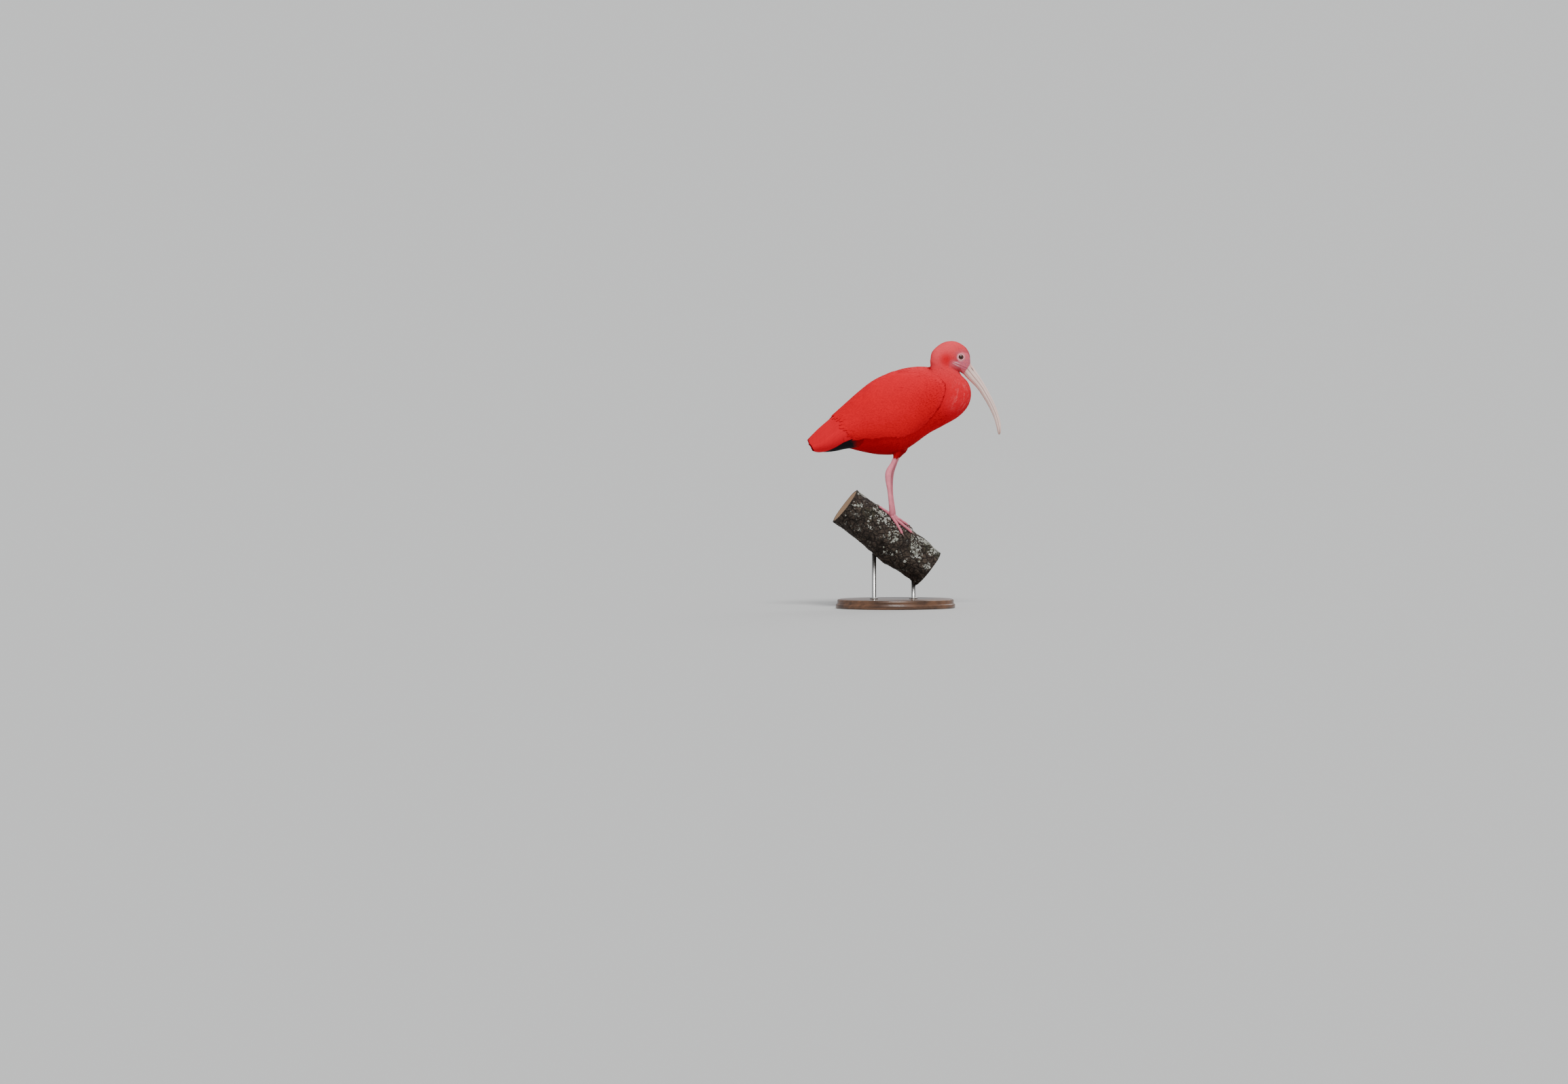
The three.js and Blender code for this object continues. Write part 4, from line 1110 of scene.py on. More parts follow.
        neck_form, head_form = VaneForm(5, 3, 0.06, 0.0, 0.25), VaneForm(4, 3, 0.08, 0.0, 0.25)
        torso = Coat(torso_length, 0.3, 1.3, self.tint, TUFT, 0.07, FLESH)
        neck = Coat(neck_length, 0.25, 0.95, self.tint, neck_form, 0.09, FLESH)
        head = Coat(head_length, 0.32, head_depth, self.tint, head_form, 0.12, FLESH)
        for name, slot, coat, stretch, gap, keep in (
            ("torso", Slot.BODY, torso, (0.02, NECK_START, 160, 180), 1.65, self.grows_on_body),
            ("neck", Slot.BODY, neck, (7.6, 13.0, 130, 150), 1.05, off_wings),
            ("head", Slot.HEAD, head, (11.6, FLESH.end - 0.05, 140, 150), 0.85, off_face),
        ):
            shape = coat.cover(Plot.of_surface(FLESH, *stretch), gap, keep, self.draw)
            build(f"{name}_feathers", shape, self.materials.plumage, slot)
        thigh = Coat(self.THIGH_LENGTH, 1.6 / self.THIGH_LENGTH, 0.9, self.tint, TUFT, 0.08, bend=45.0)
        plots = [Plot.of_rings(leg.thigh_rings(0.0), (0.1 + 0.4 * n, 0.1), 0.3) for n, leg in enumerate(LEGS)]
        shapes = [thigh.cover(plot, 1.1, lambda p: p[..., 2] < 125, self.draw) for plot in plots]
        build("thigh_feathers", merge(shapes), self.materials.plumage, Slot.BODY)

    def eyes(self) -> None:
        """Both eyeballs: near-black, with a dark brown iris round the pupil."""
        rows, columns = 40, 64
        t, u = grid(np.linspace(0, math.pi, rows), turns(columns))
        iris = ramp(t, 0.22, 0.27) * ramp(t, 0.62, 0.5)
        tint = paint(rgb(0.006, 0.005, 0.005), rgb(0.09, 0.03, 0.018), iris).reshape(-1, 3)
        out = np.cos(t) * self.EYE_RADIUS + 0.35 * bell(t, 0.0, 0.4)
        across = np.sin(t) * self.EYE_RADIUS
        for side in Side:
            ball = np.stack([across * np.cos(u), side.value * out, across * np.sin(u)], -1)
            points = ball + self.EYE * np.array([1, side.value, 1])
            shape = Shape(points.reshape(-1, 3), grid_faces(rows, columns, closed=True), tint)
            name = f"eye_{side.label}"
            build(f"{name}_ball", shape, self.materials.eye, Slot.EYE, name, flip=side is Side.LEFT)


class Wings(Dressing):
    """Both folded wings."""

    COVERT = VaneForm(14, 7, 0.03, 0.0, 0.6)
    SHORT_COVERT = VaneForm(12, 7, 0.03, 0.0, 0.6)
    # From the lowest tier to the topmost: primaries, secondaries, greater and median coverts, scapulars
    TIERS = (
        Tier(
            6, run(142, 142, 1.5, 2.0), run(4, 24, 1.9, 3.0), 15, -3.4, 0.06,
            sink=0.6, root_height=-9.0, tint=primary_tint,
        ),
        Tier(14, run(168, 148, 0.2, 1.8), secondary_tips, 20, -1.7, 0.07),
        Tier(16, run(192, 172, 0.2, 1.85), run(116, 94, 0.2, 1.8), 15, -1.2, 0.045, COVERT, 0.6),
        Tier(18, run(206, 190, 0.4, 1.84), run(146, 124, 0.36, 1.84), 13, -0.9, 0.035, SHORT_COVERT, 0.8),
        Tier(12, run(215, 222, 0.1, 0.7), run(104, 130, 0.1, 0.68), 12, -0.9, 0.035, COVERT, 0.9),
        Tier(12, run(232, 238, 0.1, 0.8), run(134, 158, 0.1, 0.8), 11, -0.7, 0.035, SHORT_COVERT, 1.0),
    )

    @staticmethod
    def bed() -> Shape:
        """The arm's surface under the feathers, as an upper and a lower sheet."""
        rows, columns, thick = 90, 80, 1.6
        k, angle = grid(np.linspace(CLOAK.at_length(74.0), 10.8, rows), np.linspace(0.03, 1.98, columns))
        s = np.interp(k, CLOAK.samples, CLOAK.lengths)
        height = mix(-3.9, -2.1, ramp(s, 150, 195))
        top = CLOAK.lifted(k, angle, height)
        low = CLOAK.lifted(k, angle, height - thick)
        faces = grid_faces(rows, columns)
        faces = faces[inside(WING_OUTLINE, top[..., 0], top[..., 2]).ravel()[faces].all(1)]
        both = np.concatenate([top.reshape(-1, 3), low.reshape(-1, 3)])
        both[:, 1] = np.minimum(both[:, 1], -0.5)
        faces = np.concatenate([faces, faces[:, ::-1] + rows * columns])
        # Painted shade: the arm's sheets under the feathers are a darkened scarlet
        tint = np.tile(0.6 * SCARLET, (len(both), 1))
        return Shape(both, faces, tint, np.zeros((len(both), 2)), 0.5 + both[:, [0, 2]] / 900.0)

    @staticmethod
    def grows_on_arm(p: Array) -> Array:
        """Where the lesser coverts grow: on the arm, ever fewer towards the large feathers."""
        x, y, z = p[..., 0], p[..., 1], p[..., 2]
        from_tips = 0.80 * (x + 150) + 0.62 * (z - 119)
        shown = inside(WING_OUTLINE, x, z) & (y < -0.8) & (outline_distance(ARM_EDGE, x, z) > 1.0)
        return shown * ramp(from_tips, 78.0, 150.0)

    def lesser_coverts(self) -> Shape:
        """The shoulder's small scale-like feathers."""

        def length(p: Array) -> Array:
            return mix(18.0, 7.5, ramp(p[..., 0], -40, 80))

        def depth(p: Array) -> Array:
            return mix(0.6, 1.1, ramp(p[..., 0], -75, 0))

        coat = Coat(length, 0.3, depth, Body.tint, VaneForm(6, 3, 0.05, 0.0, 0.3), 0.05, CLOAK)
        return coat.cover(Plot.of_surface(CLOAK, 2.2, 10.9, 150, 160), 1.6, self.grows_on_arm, self.draw)

    def make(self) -> None:
        """Both wings, the left one with its own small differences."""
        for side in Side:
            flight = merge([self.bed()] + [tier.grow(self.draw) for tier in self.TIERS])
            shapes = {"flight": flight, "coverts": self.lesser_coverts()}
            for part, shape in shapes.items():
                placed = mirrored(shape) if side is Side.LEFT else shape
                nodes = [f"wing_{side.label}"] if part == "flight" else []
                build(f"{part}_{side.label}", placed, self.materials.flight, Slot.WING, *nodes)


class Tail(Dressing):
    """The short tail between the wing tips."""

    ROOT = np.array([-94.0, 0.0, 124.6])
    END = np.array([-141.0, 0.0, 118.0])
    ALONG = unit(END - ROOT)
    UP = np.array([ALONG[2], 0, -ALONG[0]])
    FEATHERS_A_SIDE = 6
    HALF_WIDTH = 4.0
    COVERT_LENGTH = 13.0
    # The stump's length so far, half width and half height
    STUMP = ((-14, 9.5, 7), (0, 9.5, 6.2), (9, 9.2, 5), (20, 8.2, 3.2), (24, 5, 1.5))

    @classmethod
    def rings(cls, grow: float) -> Array:
        """The stump's rings, from inside the rump backwards."""
        rows, columns = 14, 32
        turn = turns(columns)
        rings = []
        for reach, half, deep in cls.STUMP:
            ring = cls.ROOT + cls.ALONG * reach + cls.UP * ((deep + grow) * np.cos(turn))[:, None]
            ring[:, 1] = -(half + grow) * np.sin(turn)
            rings.append(ring)
        table = np.array(rings).reshape(len(rings), -1)
        return spline(table, np.linspace(0, len(rings) - 1, rows)).reshape(rows, columns, 3)

    def feather(self, side: Side, t: float, form: VaneForm) -> Shape:
        """One feather, t from the middle pair, 0, to the outermost, 1."""
        q, a, share = form.stations()
        q, share = q[:, None], share[:, None]
        length = float(np.linalg.norm(self.END - self.ROOT)) - 4 * t - 2 * self.draw.random()
        out = mix(2 + 3 * t, 3.2 + 2.8 * t, q) + a * share * self.HALF_WIDTH
        lift = mix(0.5 - 2 * t, 2 - 5.5 * t, q) - 0.5 * a**2
        points = self.ROOT + self.ALONG * mix(4, length, q)[..., None] + self.UP * lift[..., None]
        points[..., 1] = side.value * np.maximum(out, 0.15)
        tint = DEEP_RED * self.draw.uniform(0.9, 1.3)
        u = np.array([0.5 + 0.05 * side.value * (1 + t)])
        across, along = np.broadcast_arrays(a * self.HALF_WIDTH, q * length)
        return feather_mesh(form, points[None], tint, across[None], along[None], u, np.array([0.03]))

    def make(self) -> None:
        """Twelve feathers, the middle pair on top, and the coverts over their roots."""
        form = VaneForm(14, 9, blunt=0.86)
        steps = np.linspace(0, 1, self.FEATHERS_A_SIDE)
        shapes = [self.feather(side, t, form) for side in Side for t in steps]
        build("tail_feathers", merge(shapes), self.materials.flight, Slot.WING, "tail")
        coat = Coat(self.COVERT_LENGTH, 4.0 / self.COVERT_LENGTH, 1.6, Body.tint, VaneForm(), bend=200.0)
        plot = Plot.of_rings(self.rings(0.0), (0.3, 0.3), 0.3)
        shape = coat.cover(plot, 2.4, lambda p: p[..., 0] < -84, self.draw)
        build("tail_coverts", shape, self.materials.plumage, Slot.BODY)


# The branch

SLOPE = math.radians(37)
BRANCH_RADIUS = 37.0
BRANCH_ENDS = (-74.0, 112.0)
ALONG = np.array([math.cos(SLOPE), 0.0, -math.sin(SLOPE)])
UP = np.array([math.sin(SLOPE), 0.0, math.cos(SLOPE)])


def bark_radius(along: Array, turn: Array) -> Array:
    """The branch's radius at a length down its slope and an angle from its crest, positive to the left."""
    swell = 1.3 * np.sin(along / 23 + 0.6) + 0.9 * np.sin(2 * turn + along / 31)
    lump = 0.7 * np.sin(3 * turn - along / 14 + 1.1) + 0.5 * np.sin(5 * turn + along / 9)
    return BRANCH_RADIUS + swell + lump


def bark_point(along: Array, turn: Array, rise: Array = 0.0) -> Array:
    """Points on the bark or above it."""
    along, turn, rise = np.broadcast_arrays(np.asarray(along, float), turn, rise)
    out = bark_radius(along, turn) + rise
    point = along[..., None] * ALONG + (out * np.cos(turn) - BRANCH_RADIUS)[..., None] * UP
    point[..., 1] += out * np.sin(turn)
    return point


class Perch(Dressing):
    """The cut length of branch, with its lichen."""

    TURNS = 300
    FLAKES = 5200
    # A flake's rings: how far out they lie, and how high over the bark
    FLAKE_RINGS = ((0.0, 0.42), (0.45, 0.5), (0.82, 0.36), (1.0, -0.35))
    FLAKE_TURNS = 12

    @staticmethod
    def relief(along: Array, turn: Array) -> Array:
        """The bark's roughness: plates and cracks, never much above the smooth form."""
        p = bark_point(along, turn)
        plates = fractal(p / 11.0, 40)
        ridged = 1 - np.abs(fractal(p / 16.0 + 3.1, 50)) * 2.2
        return np.clip(0.9 * plates - 1.2 * ramp(ridged, 0.72, 1.0) - 0.5, -2.4, 0.25)

    def make(self) -> None:
        """The bark, both cut ends and the lichen."""
        rows = 270
        s, t = grid(np.linspace(*BRANCH_ENDS, rows), turns(self.TURNS))
        relief = self.relief(s, t)
        points = bark_point(s, t, relief)
        moss = ramp(fractal(points / 21.0, 70, 3), 0.0, 0.5) * ramp(np.cos(t), -0.3, 0.6)
        tint = paint(rgb(0.040, 0.027, 0.020), rgb(0.085, 0.062, 0.045), ramp(relief, -1.6, 0.1))
        tint = paint(tint, rgb(0.030, 0.032, 0.014), moss * 0.75)
        bark = Shape(points.reshape(-1, 3), grid_faces(rows, self.TURNS, closed=True), tint.reshape(-1, 3))
        build("bark_surface", bark, self.materials.bark, Slot.BARK, "perch", flip=True)
        build("cut_ends", merge([self.cut_end(0), self.cut_end(1)]), self.materials.end_grain, Slot.BARK)
        build("lichen", self.lichen(), self.materials.lichen, Slot.BARK)

    def cut_end(self, end: int) -> Shape:
        """One sawn end."""
        rows = 40
        turn = turns(self.TURNS)
        along = np.full_like(turn, BRANCH_ENDS[end])
        r, t = grid(np.linspace(0.0, 1.0, rows), turn)
        rim = bark_point(along, turn, self.relief(along, turn))
        centre = BRANCH_ENDS[end] * ALONG - BRANCH_RADIUS * UP
        points = centre + (rim[None] - centre) * r[..., None]
        vane = np.stack([r, t / (2 * math.pi)], -1)
        faces = grid_faces(rows, self.TURNS, closed=True)
        return Shape(points.reshape(-1, 3), faces[:, ::-1] if end else faces, None, vane.reshape(-1, 2))

    def lichen(self) -> Shape:
        """Thin crusty flakes in patches, as one mesh."""
        draw = self.draw
        along = draw.uniform(BRANCH_ENDS[0] + 3, BRANCH_ENDS[1] - 3, self.FLAKES)
        turn = draw.uniform(-math.pi, math.pi, self.FLAKES)
        patches = fractal(bark_point(along, turn) / 20.0, 90)
        pick = draw.random(self.FLAKES) < ramp(patches, 0.0, 0.6) * ramp(np.cos(turn), -0.9, 0.3)
        along, turn = along[pick, None], turn[pick, None]
        count = len(along)
        size = (draw.gamma(1.7, 0.45, count) + 0.4)[:, None]
        around = turns(self.FLAKE_TURNS)
        lobe = 1 + 0.28 * np.sin(around * draw.integers(2, 5, (count, 1)) + draw.uniform(0, 6, (count, 1)))
        lobe = size * (lobe * draw.uniform(0.8, 1.2, (count, self.FLAKE_TURNS)))
        rings = []
        for reach, lift in self.FLAKE_RINGS:
            a = np.clip(along + reach * lobe * np.cos(around), *BRANCH_ENDS)
            t = turn + reach * lobe * np.sin(around) / BRANCH_RADIUS
            crumbs = 0.12 * draw.normal(size=lobe.shape) * (0 < reach < 1)
            rings.append(bark_point(a, t, self.relief(a, t) + lift + crumbs))
        points = len(rings) * self.FLAKE_TURNS
        faces = repeated(grid_faces(len(rings), self.FLAKE_TURNS, closed=True), count, points)
        grey = mix(rgb(0.36, 0.37, 0.30), rgb(0.72, 0.71, 0.66), draw.random((count, 1)))
        return Shape(np.stack(rings, 1).reshape(-1, 3), faces[:, ::-1], np.repeat(grey, points, axis=0))


# Legs, feet and claws


@dataclass(frozen=True)
class Toe:
    """A toe's length without its claw, its direction from straight ahead, and its thickness."""

    name: str
    length: float
    splay: float
    thick: float


TOES = (
    Toe("hallux", 24.0, 180.0, 0.85),
    Toe("inner", 38.0, 12.0, 0.92),
    Toe("middle", 50.0, -9.0, 1.0),
    Toe("outer", 42.0, -31.0, 0.95),
)


def limb(path: Array, radius: Callable[[Array, Array], Array], columns: int, t: Array) -> Array:
    """Rings of a tube along a bent path; radius gives each point's from t and the angle round it."""
    last = len(path) - 1
    centre = spline(path, t * last)
    ahead = spline(path, np.minimum(1, t + 0.01) * last) - spline(path, np.maximum(0, t - 0.01) * last)
    along = unit(ahead)
    side = unit(np.cross(np.array([0.0, 1.0, 0.0]), along))
    up = np.cross(along, side)
    turn = turns(columns)
    reach = radius(t[:, None], turn[None, :])[..., None]
    cos, sin = np.cos(turn)[None, :, None], np.sin(turn)[None, :, None]
    return centre[:, None] + reach * (side[:, None] * cos + up[:, None] * sin)


def along_limb(radii: Sequence[float], t: Array) -> Array:
    """A limb's radius at t, through radii spaced evenly along it."""
    return spline(np.array(radii)[:, None], t[:, 0] * (len(radii) - 1))


@dataclass(frozen=True)
class Leg:
    """One leg, from inside the thigh to the claws."""

    side: Side
    stands_ahead: float
    heel: tuple[float, float]

    FOOT_TURN = 0.45
    THIGH_RADII = (8.0, 10.2, 7.6, 5.2)
    SHANK_RADII = (4.6, 3.7, 5.0, 2.9, 4.2, 3.6)
    CLAW_RADII = (1.65, 1.5, 1.2, 0.8, 0.12)
    TOE_RADIUS = 3.0
    SHANK_SHADE = 0.943
    TOE_SHADE = 0.925
    CLAW = 8.0

    def path(self) -> Array:
        """The leg's bent centre line."""
        s = self.side.value
        ankle = bark_point(self.stands_ahead, s * self.FOOT_TURN, 7.5)
        x, z = self.heel
        middle = np.array([mix(x, ankle[0], 0.5) - 0.8, mix(s * 17.5, ankle[1], 0.5), mix(z, ankle[2], 0.5)])
        foot = bark_point(self.stands_ahead + 1, s * self.FOOT_TURN, 3.2)
        return np.array([(x + 20, s * 21, 118), (x + 9, s * 19.5, 92), (x, s * 17.5, z), middle, ankle, foot])

    def thigh_rings(self, grow: float) -> Array:
        """The feathered thigh."""
        hip, knee = self.path()[:2]
        low = mix(knee, hip, 0.4)
        top = hip * np.array([1.0, 0.62, 1.0])
        path = np.array([mix(knee, top, 1.6), top, mix(top, low, 0.6), low])

        def radius(t: Array, a: Array) -> Array:
            return along_limb(self.THIGH_RADII, t) + grow + 0 * a

        return limb(path, radius, 36, np.linspace(0, 1, 32))

    def shank(self) -> Shape:
        """The bare tibia, heel and tarsus, with broad scutes down the front."""

        def radius(t: Array, a: Array) -> Array:
            front = ramp(np.cos(a), -0.1, 0.6)
            step = (t * 46) % 1.0
            scute = (0.16 * step - 0.3 * bell(step, 0.0, 0.12)) * front
            small = 0.09 * np.sin(t * 420) * np.sin(a * 9) * (1 - front)
            knob = 0.35 * bell(t, 0.405, 0.02) * np.abs(np.sin(a))
            return along_limb(self.SHANK_RADII, t) * (1 + 0.05 * np.cos(2 * a)) + scute + small + knob

        return self.tinted(limb(self.path(), radius, 40, np.linspace(0.1, 1.0, 320)), self.SHANK_SHADE)

    def toe_point(self, toe: Toe, q: Array, rise: Array) -> Array:
        """The toe's centre line over the bark, on past its end for the claw."""
        splay = math.radians(toe.splay)
        reach = toe.length * np.asarray(q, float)
        turn = self.side.value * (self.FOOT_TURN - reach * math.sin(splay) / BRANCH_RADIUS)
        return bark_point(self.stands_ahead + reach * math.cos(splay), turn, rise)

    def toe_shape(self, toe: Toe) -> Shape:
        """One toe, swollen at its joints, with scutes on top and pads below."""
        stations = np.linspace(0, 1, 7)
        radii = self.TOE_RADIUS * toe.thick * (1 - 0.3 * stations) * np.where(np.arange(7) % 2, 1.06, 0.92)

        def radius(t: Array, a: Array) -> Array:
            step = (t * toe.length / 2.1) % 1.0
            scute = (0.14 * step - 0.26 * bell(step, 0.0, 0.14)) * ramp(-np.sin(a), -0.2, 0.5)
            pads = 0.22 * np.cos(t * math.pi * 6) * ramp(np.sin(a), 0.1, 0.8)
            tip = np.sqrt(np.clip(1 - ramp(t, 0.94, 1.02) * 0.8, 0, 1))
            return (along_limb(radii, t) + scute - 0.3 * np.abs(pads)) * tip

        path = self.toe_point(toe, stations, radii + 0.2)
        return self.tinted(limb(path, radius, 26, np.linspace(0, 1, 110)), self.TOE_SHADE)

    @staticmethod
    def tinted(rings: Array, shade: float) -> Shape:
        """A closed tube in the leg's pink, cloudy, and duller towards the toes."""
        shape = tube(rings)
        cloud = lattice_noise(shape.points / 5.0, 17)[:, None]
        colour = paint(LEG_PINK, LEG_PINK * rgb(0.72, 0.66, 0.7), ramp(shape.points[:, 2], 30, 0))
        shape.tint = colour * (1 + 0.12 * cloud) * shade
        return shape

    def claw(self, toe: Toe) -> Shape:
        """A curved horn, flattened below, at the toe's end."""
        rows, columns = 36, 20

        def radius(t: Array, a: Array) -> Array:
            return along_limb(self.CLAW_RADII, t) * (1 - 0.12 * np.cos(2 * a))

        start = 1 + 0.1 / toe.length
        q = np.linspace(start, start + self.CLAW / toe.length, 5)
        path = self.toe_point(toe, q, np.array([2.0, 2.9, 2.9, 2.0, 0.7]))
        shape = tube(limb(path, radius, columns, np.linspace(0, 1, rows)))
        share = np.append(np.repeat(np.linspace(0, 1, rows), columns), [0, 1])
        shape.tint = paint(rgb(0.20, 0.11, 0.10), rgb(0.035, 0.022, 0.02), ease(share))
        shape.vane = np.stack([share, share * 0.8], 1)
        return shape


LEGS = (Leg(Side.LEFT, 4.0, (1.5, 68.0)), Leg(Side.RIGHT, -3.0, (-7.0, 71.0)))


def make_legs(materials: Materials) -> None:
    """Both legs with their feet and claws."""
    for leg in LEGS:
        name = leg.side.label
        shapes = [leg.shank()] + [leg.toe_shape(toe) for toe in TOES]
        nodes = [f"{part}_{name}" for part in ("tibia", "tarsus", "foot")]
        build(f"leg_{name}", merge(shapes), materials.leg, Slot.LEG, *nodes)
        claws = [leg.claw(toe) for toe in TOES]
        nodes = [f"claw_{name}_{toe.name}" for toe in TOES]
        build(f"claws_{name}", merge(claws), materials.claw, Slot.CLAW, *nodes)


# The bill


@dataclass(frozen=True)
class Bill:
    """The long curved bill, parted along the mouth's line."""

    materials: Materials

    RIBS = np.array([
        (141.3, 266.3, 128.2, 247.5, 7.3), (153.8, 248.8, 138, 237, 6.3), (165.5, 230.5, 152.8, 222.3, 5.3),
        (176, 211.5, 164.2, 205.6, 4.5), (185, 192.8, 174.3, 188.2, 3.9), (191.8, 174.3, 182.4, 170.9, 3.5),
        (195.6, 156, 187.5, 154.3, 3.3), (195.6, 146, 189.4, 145.2, 2.9), (194, 140.3, 191.3, 140, 1.3),
    ], float)
    NOSTRIL = (0.5, 0.17)
    GROOVE = 0.62
    HALF_GAP = 0.14

    def mandible(self, upper: bool) -> Shape:
        """The upper or the lower half."""
        way = 1 if upper else -1
        stations = np.concatenate([np.linspace(-0.16, 1.4, 150), np.linspace(1.4, 8, 190)[1:]])
        k, turn = grid(stations, np.linspace(0, math.pi, 69))
        r = spline(self.RIBS, np.maximum(k, 0))
        edges = r[..., :4] + np.minimum(k, 0)[..., None] * (self.RIBS[1, :4] - self.RIBS[0, :4])
        top, keel = (np.stack([edges[..., i], 0 * k, edges[..., i + 1]], -1) for i in (0, 2))
        mirror = np.minimum(turn, math.pi - turn)
        groove = bell(mirror, self.GROOVE, 0.11) * ramp(k, 6.4, 4.2)
        middle, reach = self.NOSTRIL
        nostril = upper * np.exp(-(((k - middle) / reach) ** 4)) * bell(mirror, self.GROOVE, 0.07)
        shrink = 0.42 * groove + 1.25 * nostril
        ripple = 0.05 * fractal(np.stack([k * 9, turn * 4, 0 * k], -1), 21, 3)
        tuck = 1 - 0.07 * ramp(-k, 0.0, 0.16)
        cut = shrink if upper else 0.25 * groove
        half = (r[..., 4] - cut - 0.25 * bell(mirror, 0.0, 0.07) + ripple) * tuck
        depth = np.linalg.norm(top - keel, axis=-1) / 2
        rise = (depth - self.HALF_GAP) * tuck - (shrink * 0.35 if upper else 0) + ripple
        lift = way * (self.HALF_GAP + rise * np.sin(turn) ** 0.85)
        points = (top + keel) / 2 + unit(top - keel) * lift[..., None]
        points[..., 1] = half * np.cos(turn)
        tint = BILL_PALE
        for colour, share in (
            (rgb(0.62, 0.27, 0.24), ramp(k, 0.75, -0.1) * 0.55),
            (rgb(0.55, 0.30, 0.25), ramp(k, 5.6, 8.0) * 0.6),
            (rgb(0.60, 0.33, 0.28), 0.45 * (not upper) * ramp(np.sin(turn), 0.5, 1.0)),
            # Painted shade in the groove along the bill and along the line where the two halves meet
            (rgb(0.34, 0.15, 0.13), 0.4 * groove + 0.5 * bell(mirror, 0.0, 0.05)),
            # Painted shade: the nostril's opening painted near black
            (rgb(0.03, 0.012, 0.012), nostril),
        ):
            tint = paint(tint, colour, share)
        shape = tube(points)
        shape.tint = np.vstack([tint.reshape(-1, 3), tint[0, 0], tint[-1, 0]])
        shape.vane = np.vstack([np.stack([turn, k], -1).reshape(-1, 2), [(1.5, 0), (1.5, 8)]])
        return shape

    def make(self) -> None:
        """Both halves."""
        build("upper_mandible", self.mandible(True), self.materials.bill, Slot.BILL, "bill_upper")
        build("lower_mandible", self.mandible(False), self.materials.bill, Slot.BILL, "bill_lower", flip=True)


# The display stand


@dataclass(frozen=True)
class Stand:
    """A turned oval base and two steel rods."""

    long: float = 212.0
    wide: float = 156.0
    rod_radius: float = 4.0
    rods: tuple[tuple[str, float], ...] = (("front", 40.0), ("back", -30.0))

    # The base's outline, as insets from its longest outline and heights
    PROFILE = (
        (-1.2, 0), (-0.4, 0.7), (0, 1.8), (0, 6.2), (-0.5, 7.2), (-1.6, 7.7), (-2.3, 8.4), (-2.6, 9.6),
        (-2.5, 11.6), (-2.6, 13.4), (-3.2, 14.8), (-4.4, 15.7), (-6.0, 16.0),
    )
    # The collar's radii and heights
    COLLAR = ((7.4, 16.2), (7.4, 17.8), (6.9, 18.4), (4.3, 18.6))

    @staticmethod
    def lathed(rings: Sequence[tuple[float, float, float]], columns: int, ahead: float = 0.0) -> Shape:
        """An upright tube through oval rings of half length, half width and height."""
        turn = turns(columns)
        cos, sin, level = np.cos(turn), np.sin(turn), np.ones(columns)
        shape = tube(np.array([np.stack([ahead + x * cos, y * sin, z * level], -1) for x, y, z in rings]))
        shape.in_stand_frame = True
        return shape

    def base(self) -> Shape:
        """The base: a rounded foot, a shallow cove and a softly rounded top edge."""
        rings = [(self.long / 2 + inset, self.wide / 2 + inset, z) for inset, z in self.PROFILE]
        return self.lathed(rings, 200)

    def rod(self, ahead: float) -> Shape:
        """One rod with a small collar on the base, let into the branch by a few millimetres."""
        line = bark_point(np.linspace(-60, 120, 1800), math.pi)
        top = float(np.interp(ahead, line[:, 0], line[:, 2])) + STAND_HEIGHT + 3.0
        steps = (*self.COLLAR, (self.rod_radius, 18.9), (self.rod_radius, top))
        return self.lathed([(r, r, z) for r, z in steps], 48, ahead + STAND_AHEAD)

    def make(self, materials: Materials) -> None:
        """The base and both rods."""
        build("display_base", self.base(), materials.wood, Slot.WOOD, "stand_base")
        for name, ahead in self.rods:
            build(f"rod_{name}", self.rod(ahead), materials.steel, Slot.STEEL, f"stand_rod_{name}")


# Studio


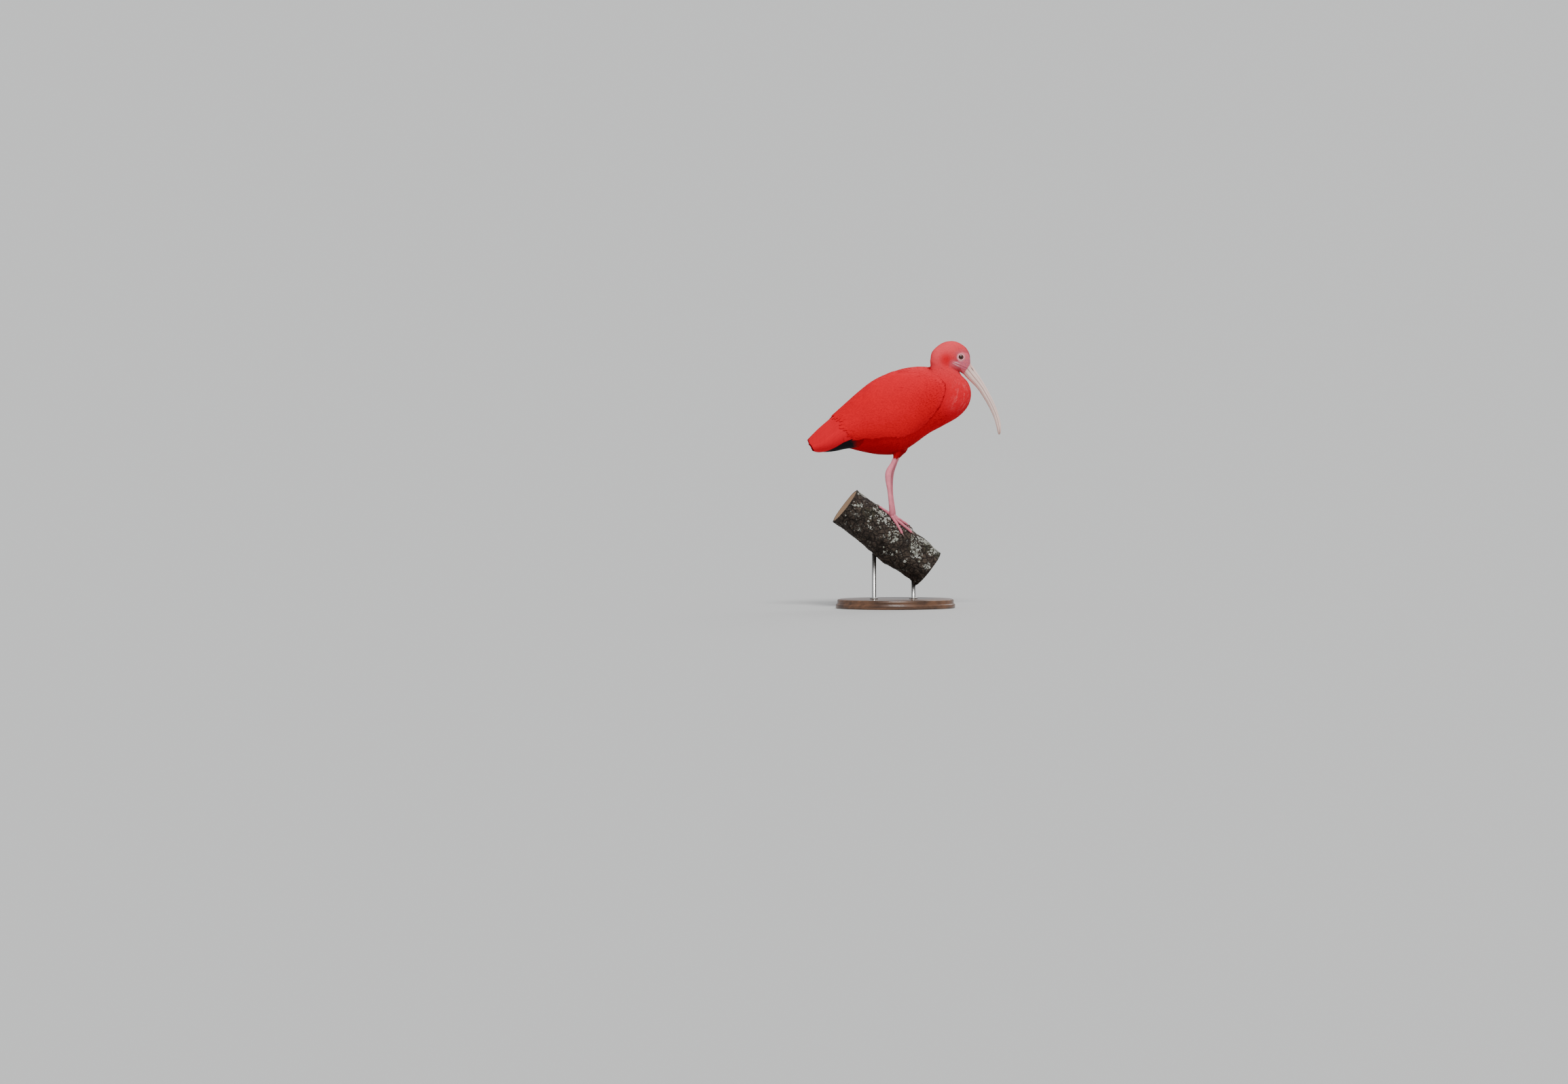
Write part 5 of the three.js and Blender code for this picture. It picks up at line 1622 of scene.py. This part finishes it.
@dataclass(frozen=True)
class Studio:
    """The floor, the soft light and the camera at the photograph's angle and framing.

    Scale is metres to a pixel of the photograph at the bird, and stands_at the pixel that the bird's origin
    is seen at.
    """

    scale: float = 0.0012
    stands_at: tuple[float, float] = (1312.0, 757.0)
    azimuth: float = -6.0
    elevation: float = 2.5
    lens: float = 400.0
    sensor: float = 36.0
    floor_reach: float = 400.0

    def camera(self) -> None:
        """A long lens, so that the bird is as small in the frame as in the photograph."""
        width = PHOTO_WIDTH * self.scale
        distance = width * self.lens / self.sensor
        a, e = math.radians(self.azimuth), math.radians(self.elevation)
        back = Vector((math.sin(a) * math.cos(e), -math.cos(a) * math.cos(e), math.sin(e)))
        right = Vector((math.cos(a), math.sin(a), 0.0))
        up = back.cross(right)
        stands = Vector((STAND_AHEAD, 0.0, STAND_HEIGHT)) / MM_PER_METRE
        across = (PHOTO_WIDTH / 2 - self.stands_at[0]) * self.scale
        above = (self.stands_at[1] - PHOTO_HEIGHT / 2) * self.scale
        data = bpy.data.cameras.new("camera")
        data.lens = self.lens
        data.sensor_width = self.sensor
        data.clip_end = 2000.0
        camera = bpy.data.objects.new("camera", data)
        camera.location = stands + right * across + up * above + back * distance
        camera.rotation_euler = back.to_track_quat("Z", "Y").to_euler()
        bpy.context.scene.collection.objects.link(camera)
        bpy.context.scene.camera = camera

    def lights(self) -> None:
        """A broad key from above on the camera's side, a weak rim light from behind and an even sky."""
        for name, energy, size, turn in (("key", 3.3, 0.35, (34, -10, 20)), ("rim", 0.8, 0.7, (50, 0, 150))):
            data = bpy.data.lights.new(name, "SUN")
            data.energy = energy
            data.angle = size
            light = bpy.data.objects.new(name, data)
            light.rotation_euler = [math.radians(v) for v in turn]
            bpy.context.scene.collection.objects.link(light)
        world = bpy.data.worlds.new("sky")
        world.use_nodes = True
        sky = world.node_tree.nodes["Background"]
        sky.inputs["Color"].default_value = (0.93, 0.96, 1.0, 1.0)
        sky.inputs["Strength"].default_value = 0.55
        bpy.context.scene.world = world

    def floor(self) -> None:
        """A plain pale floor."""
        mesh = bpy.data.meshes.new("floor")
        r = self.floor_reach
        mesh.from_pydata([(-r, -r, 0), (r, -r, 0), (r, r, 0), (-r, r, 0)], [], [(0, 1, 2, 3)])
        material = bpy.data.materials.new("floor")
        material.use_nodes = True
        shader = material.node_tree.nodes["Principled BSDF"]
        shader.inputs["Base Color"].default_value = (0.50, 0.50, 0.49, 1.0)
        shader.inputs["Roughness"].default_value = 0.85
        mesh.materials.append(material)
        floor = bpy.data.objects.new("floor", mesh)
        bpy.context.scene.collection.objects.link(floor)


def main() -> None:
    """Builds the whole scene."""
    logging.basicConfig(level=logging.INFO, format="%(name)s: %(message)s")
    materials = Materials()
    studio = Studio()
    studio.camera()
    studio.lights()
    studio.floor()
    body = Body(materials, np.random.default_rng(7))
    body.skin()
    body.coat()
    body.eyes()
    Wings(materials, np.random.default_rng(19)).make()
    Tail(materials, np.random.default_rng(23)).make()
    Bill(materials).make()
    make_legs(materials)
    Perch(materials, np.random.default_rng(31)).make()
    Stand().make(materials)
    bpy.context.view_layer.update()


if __name__ == "__main__":
    main()
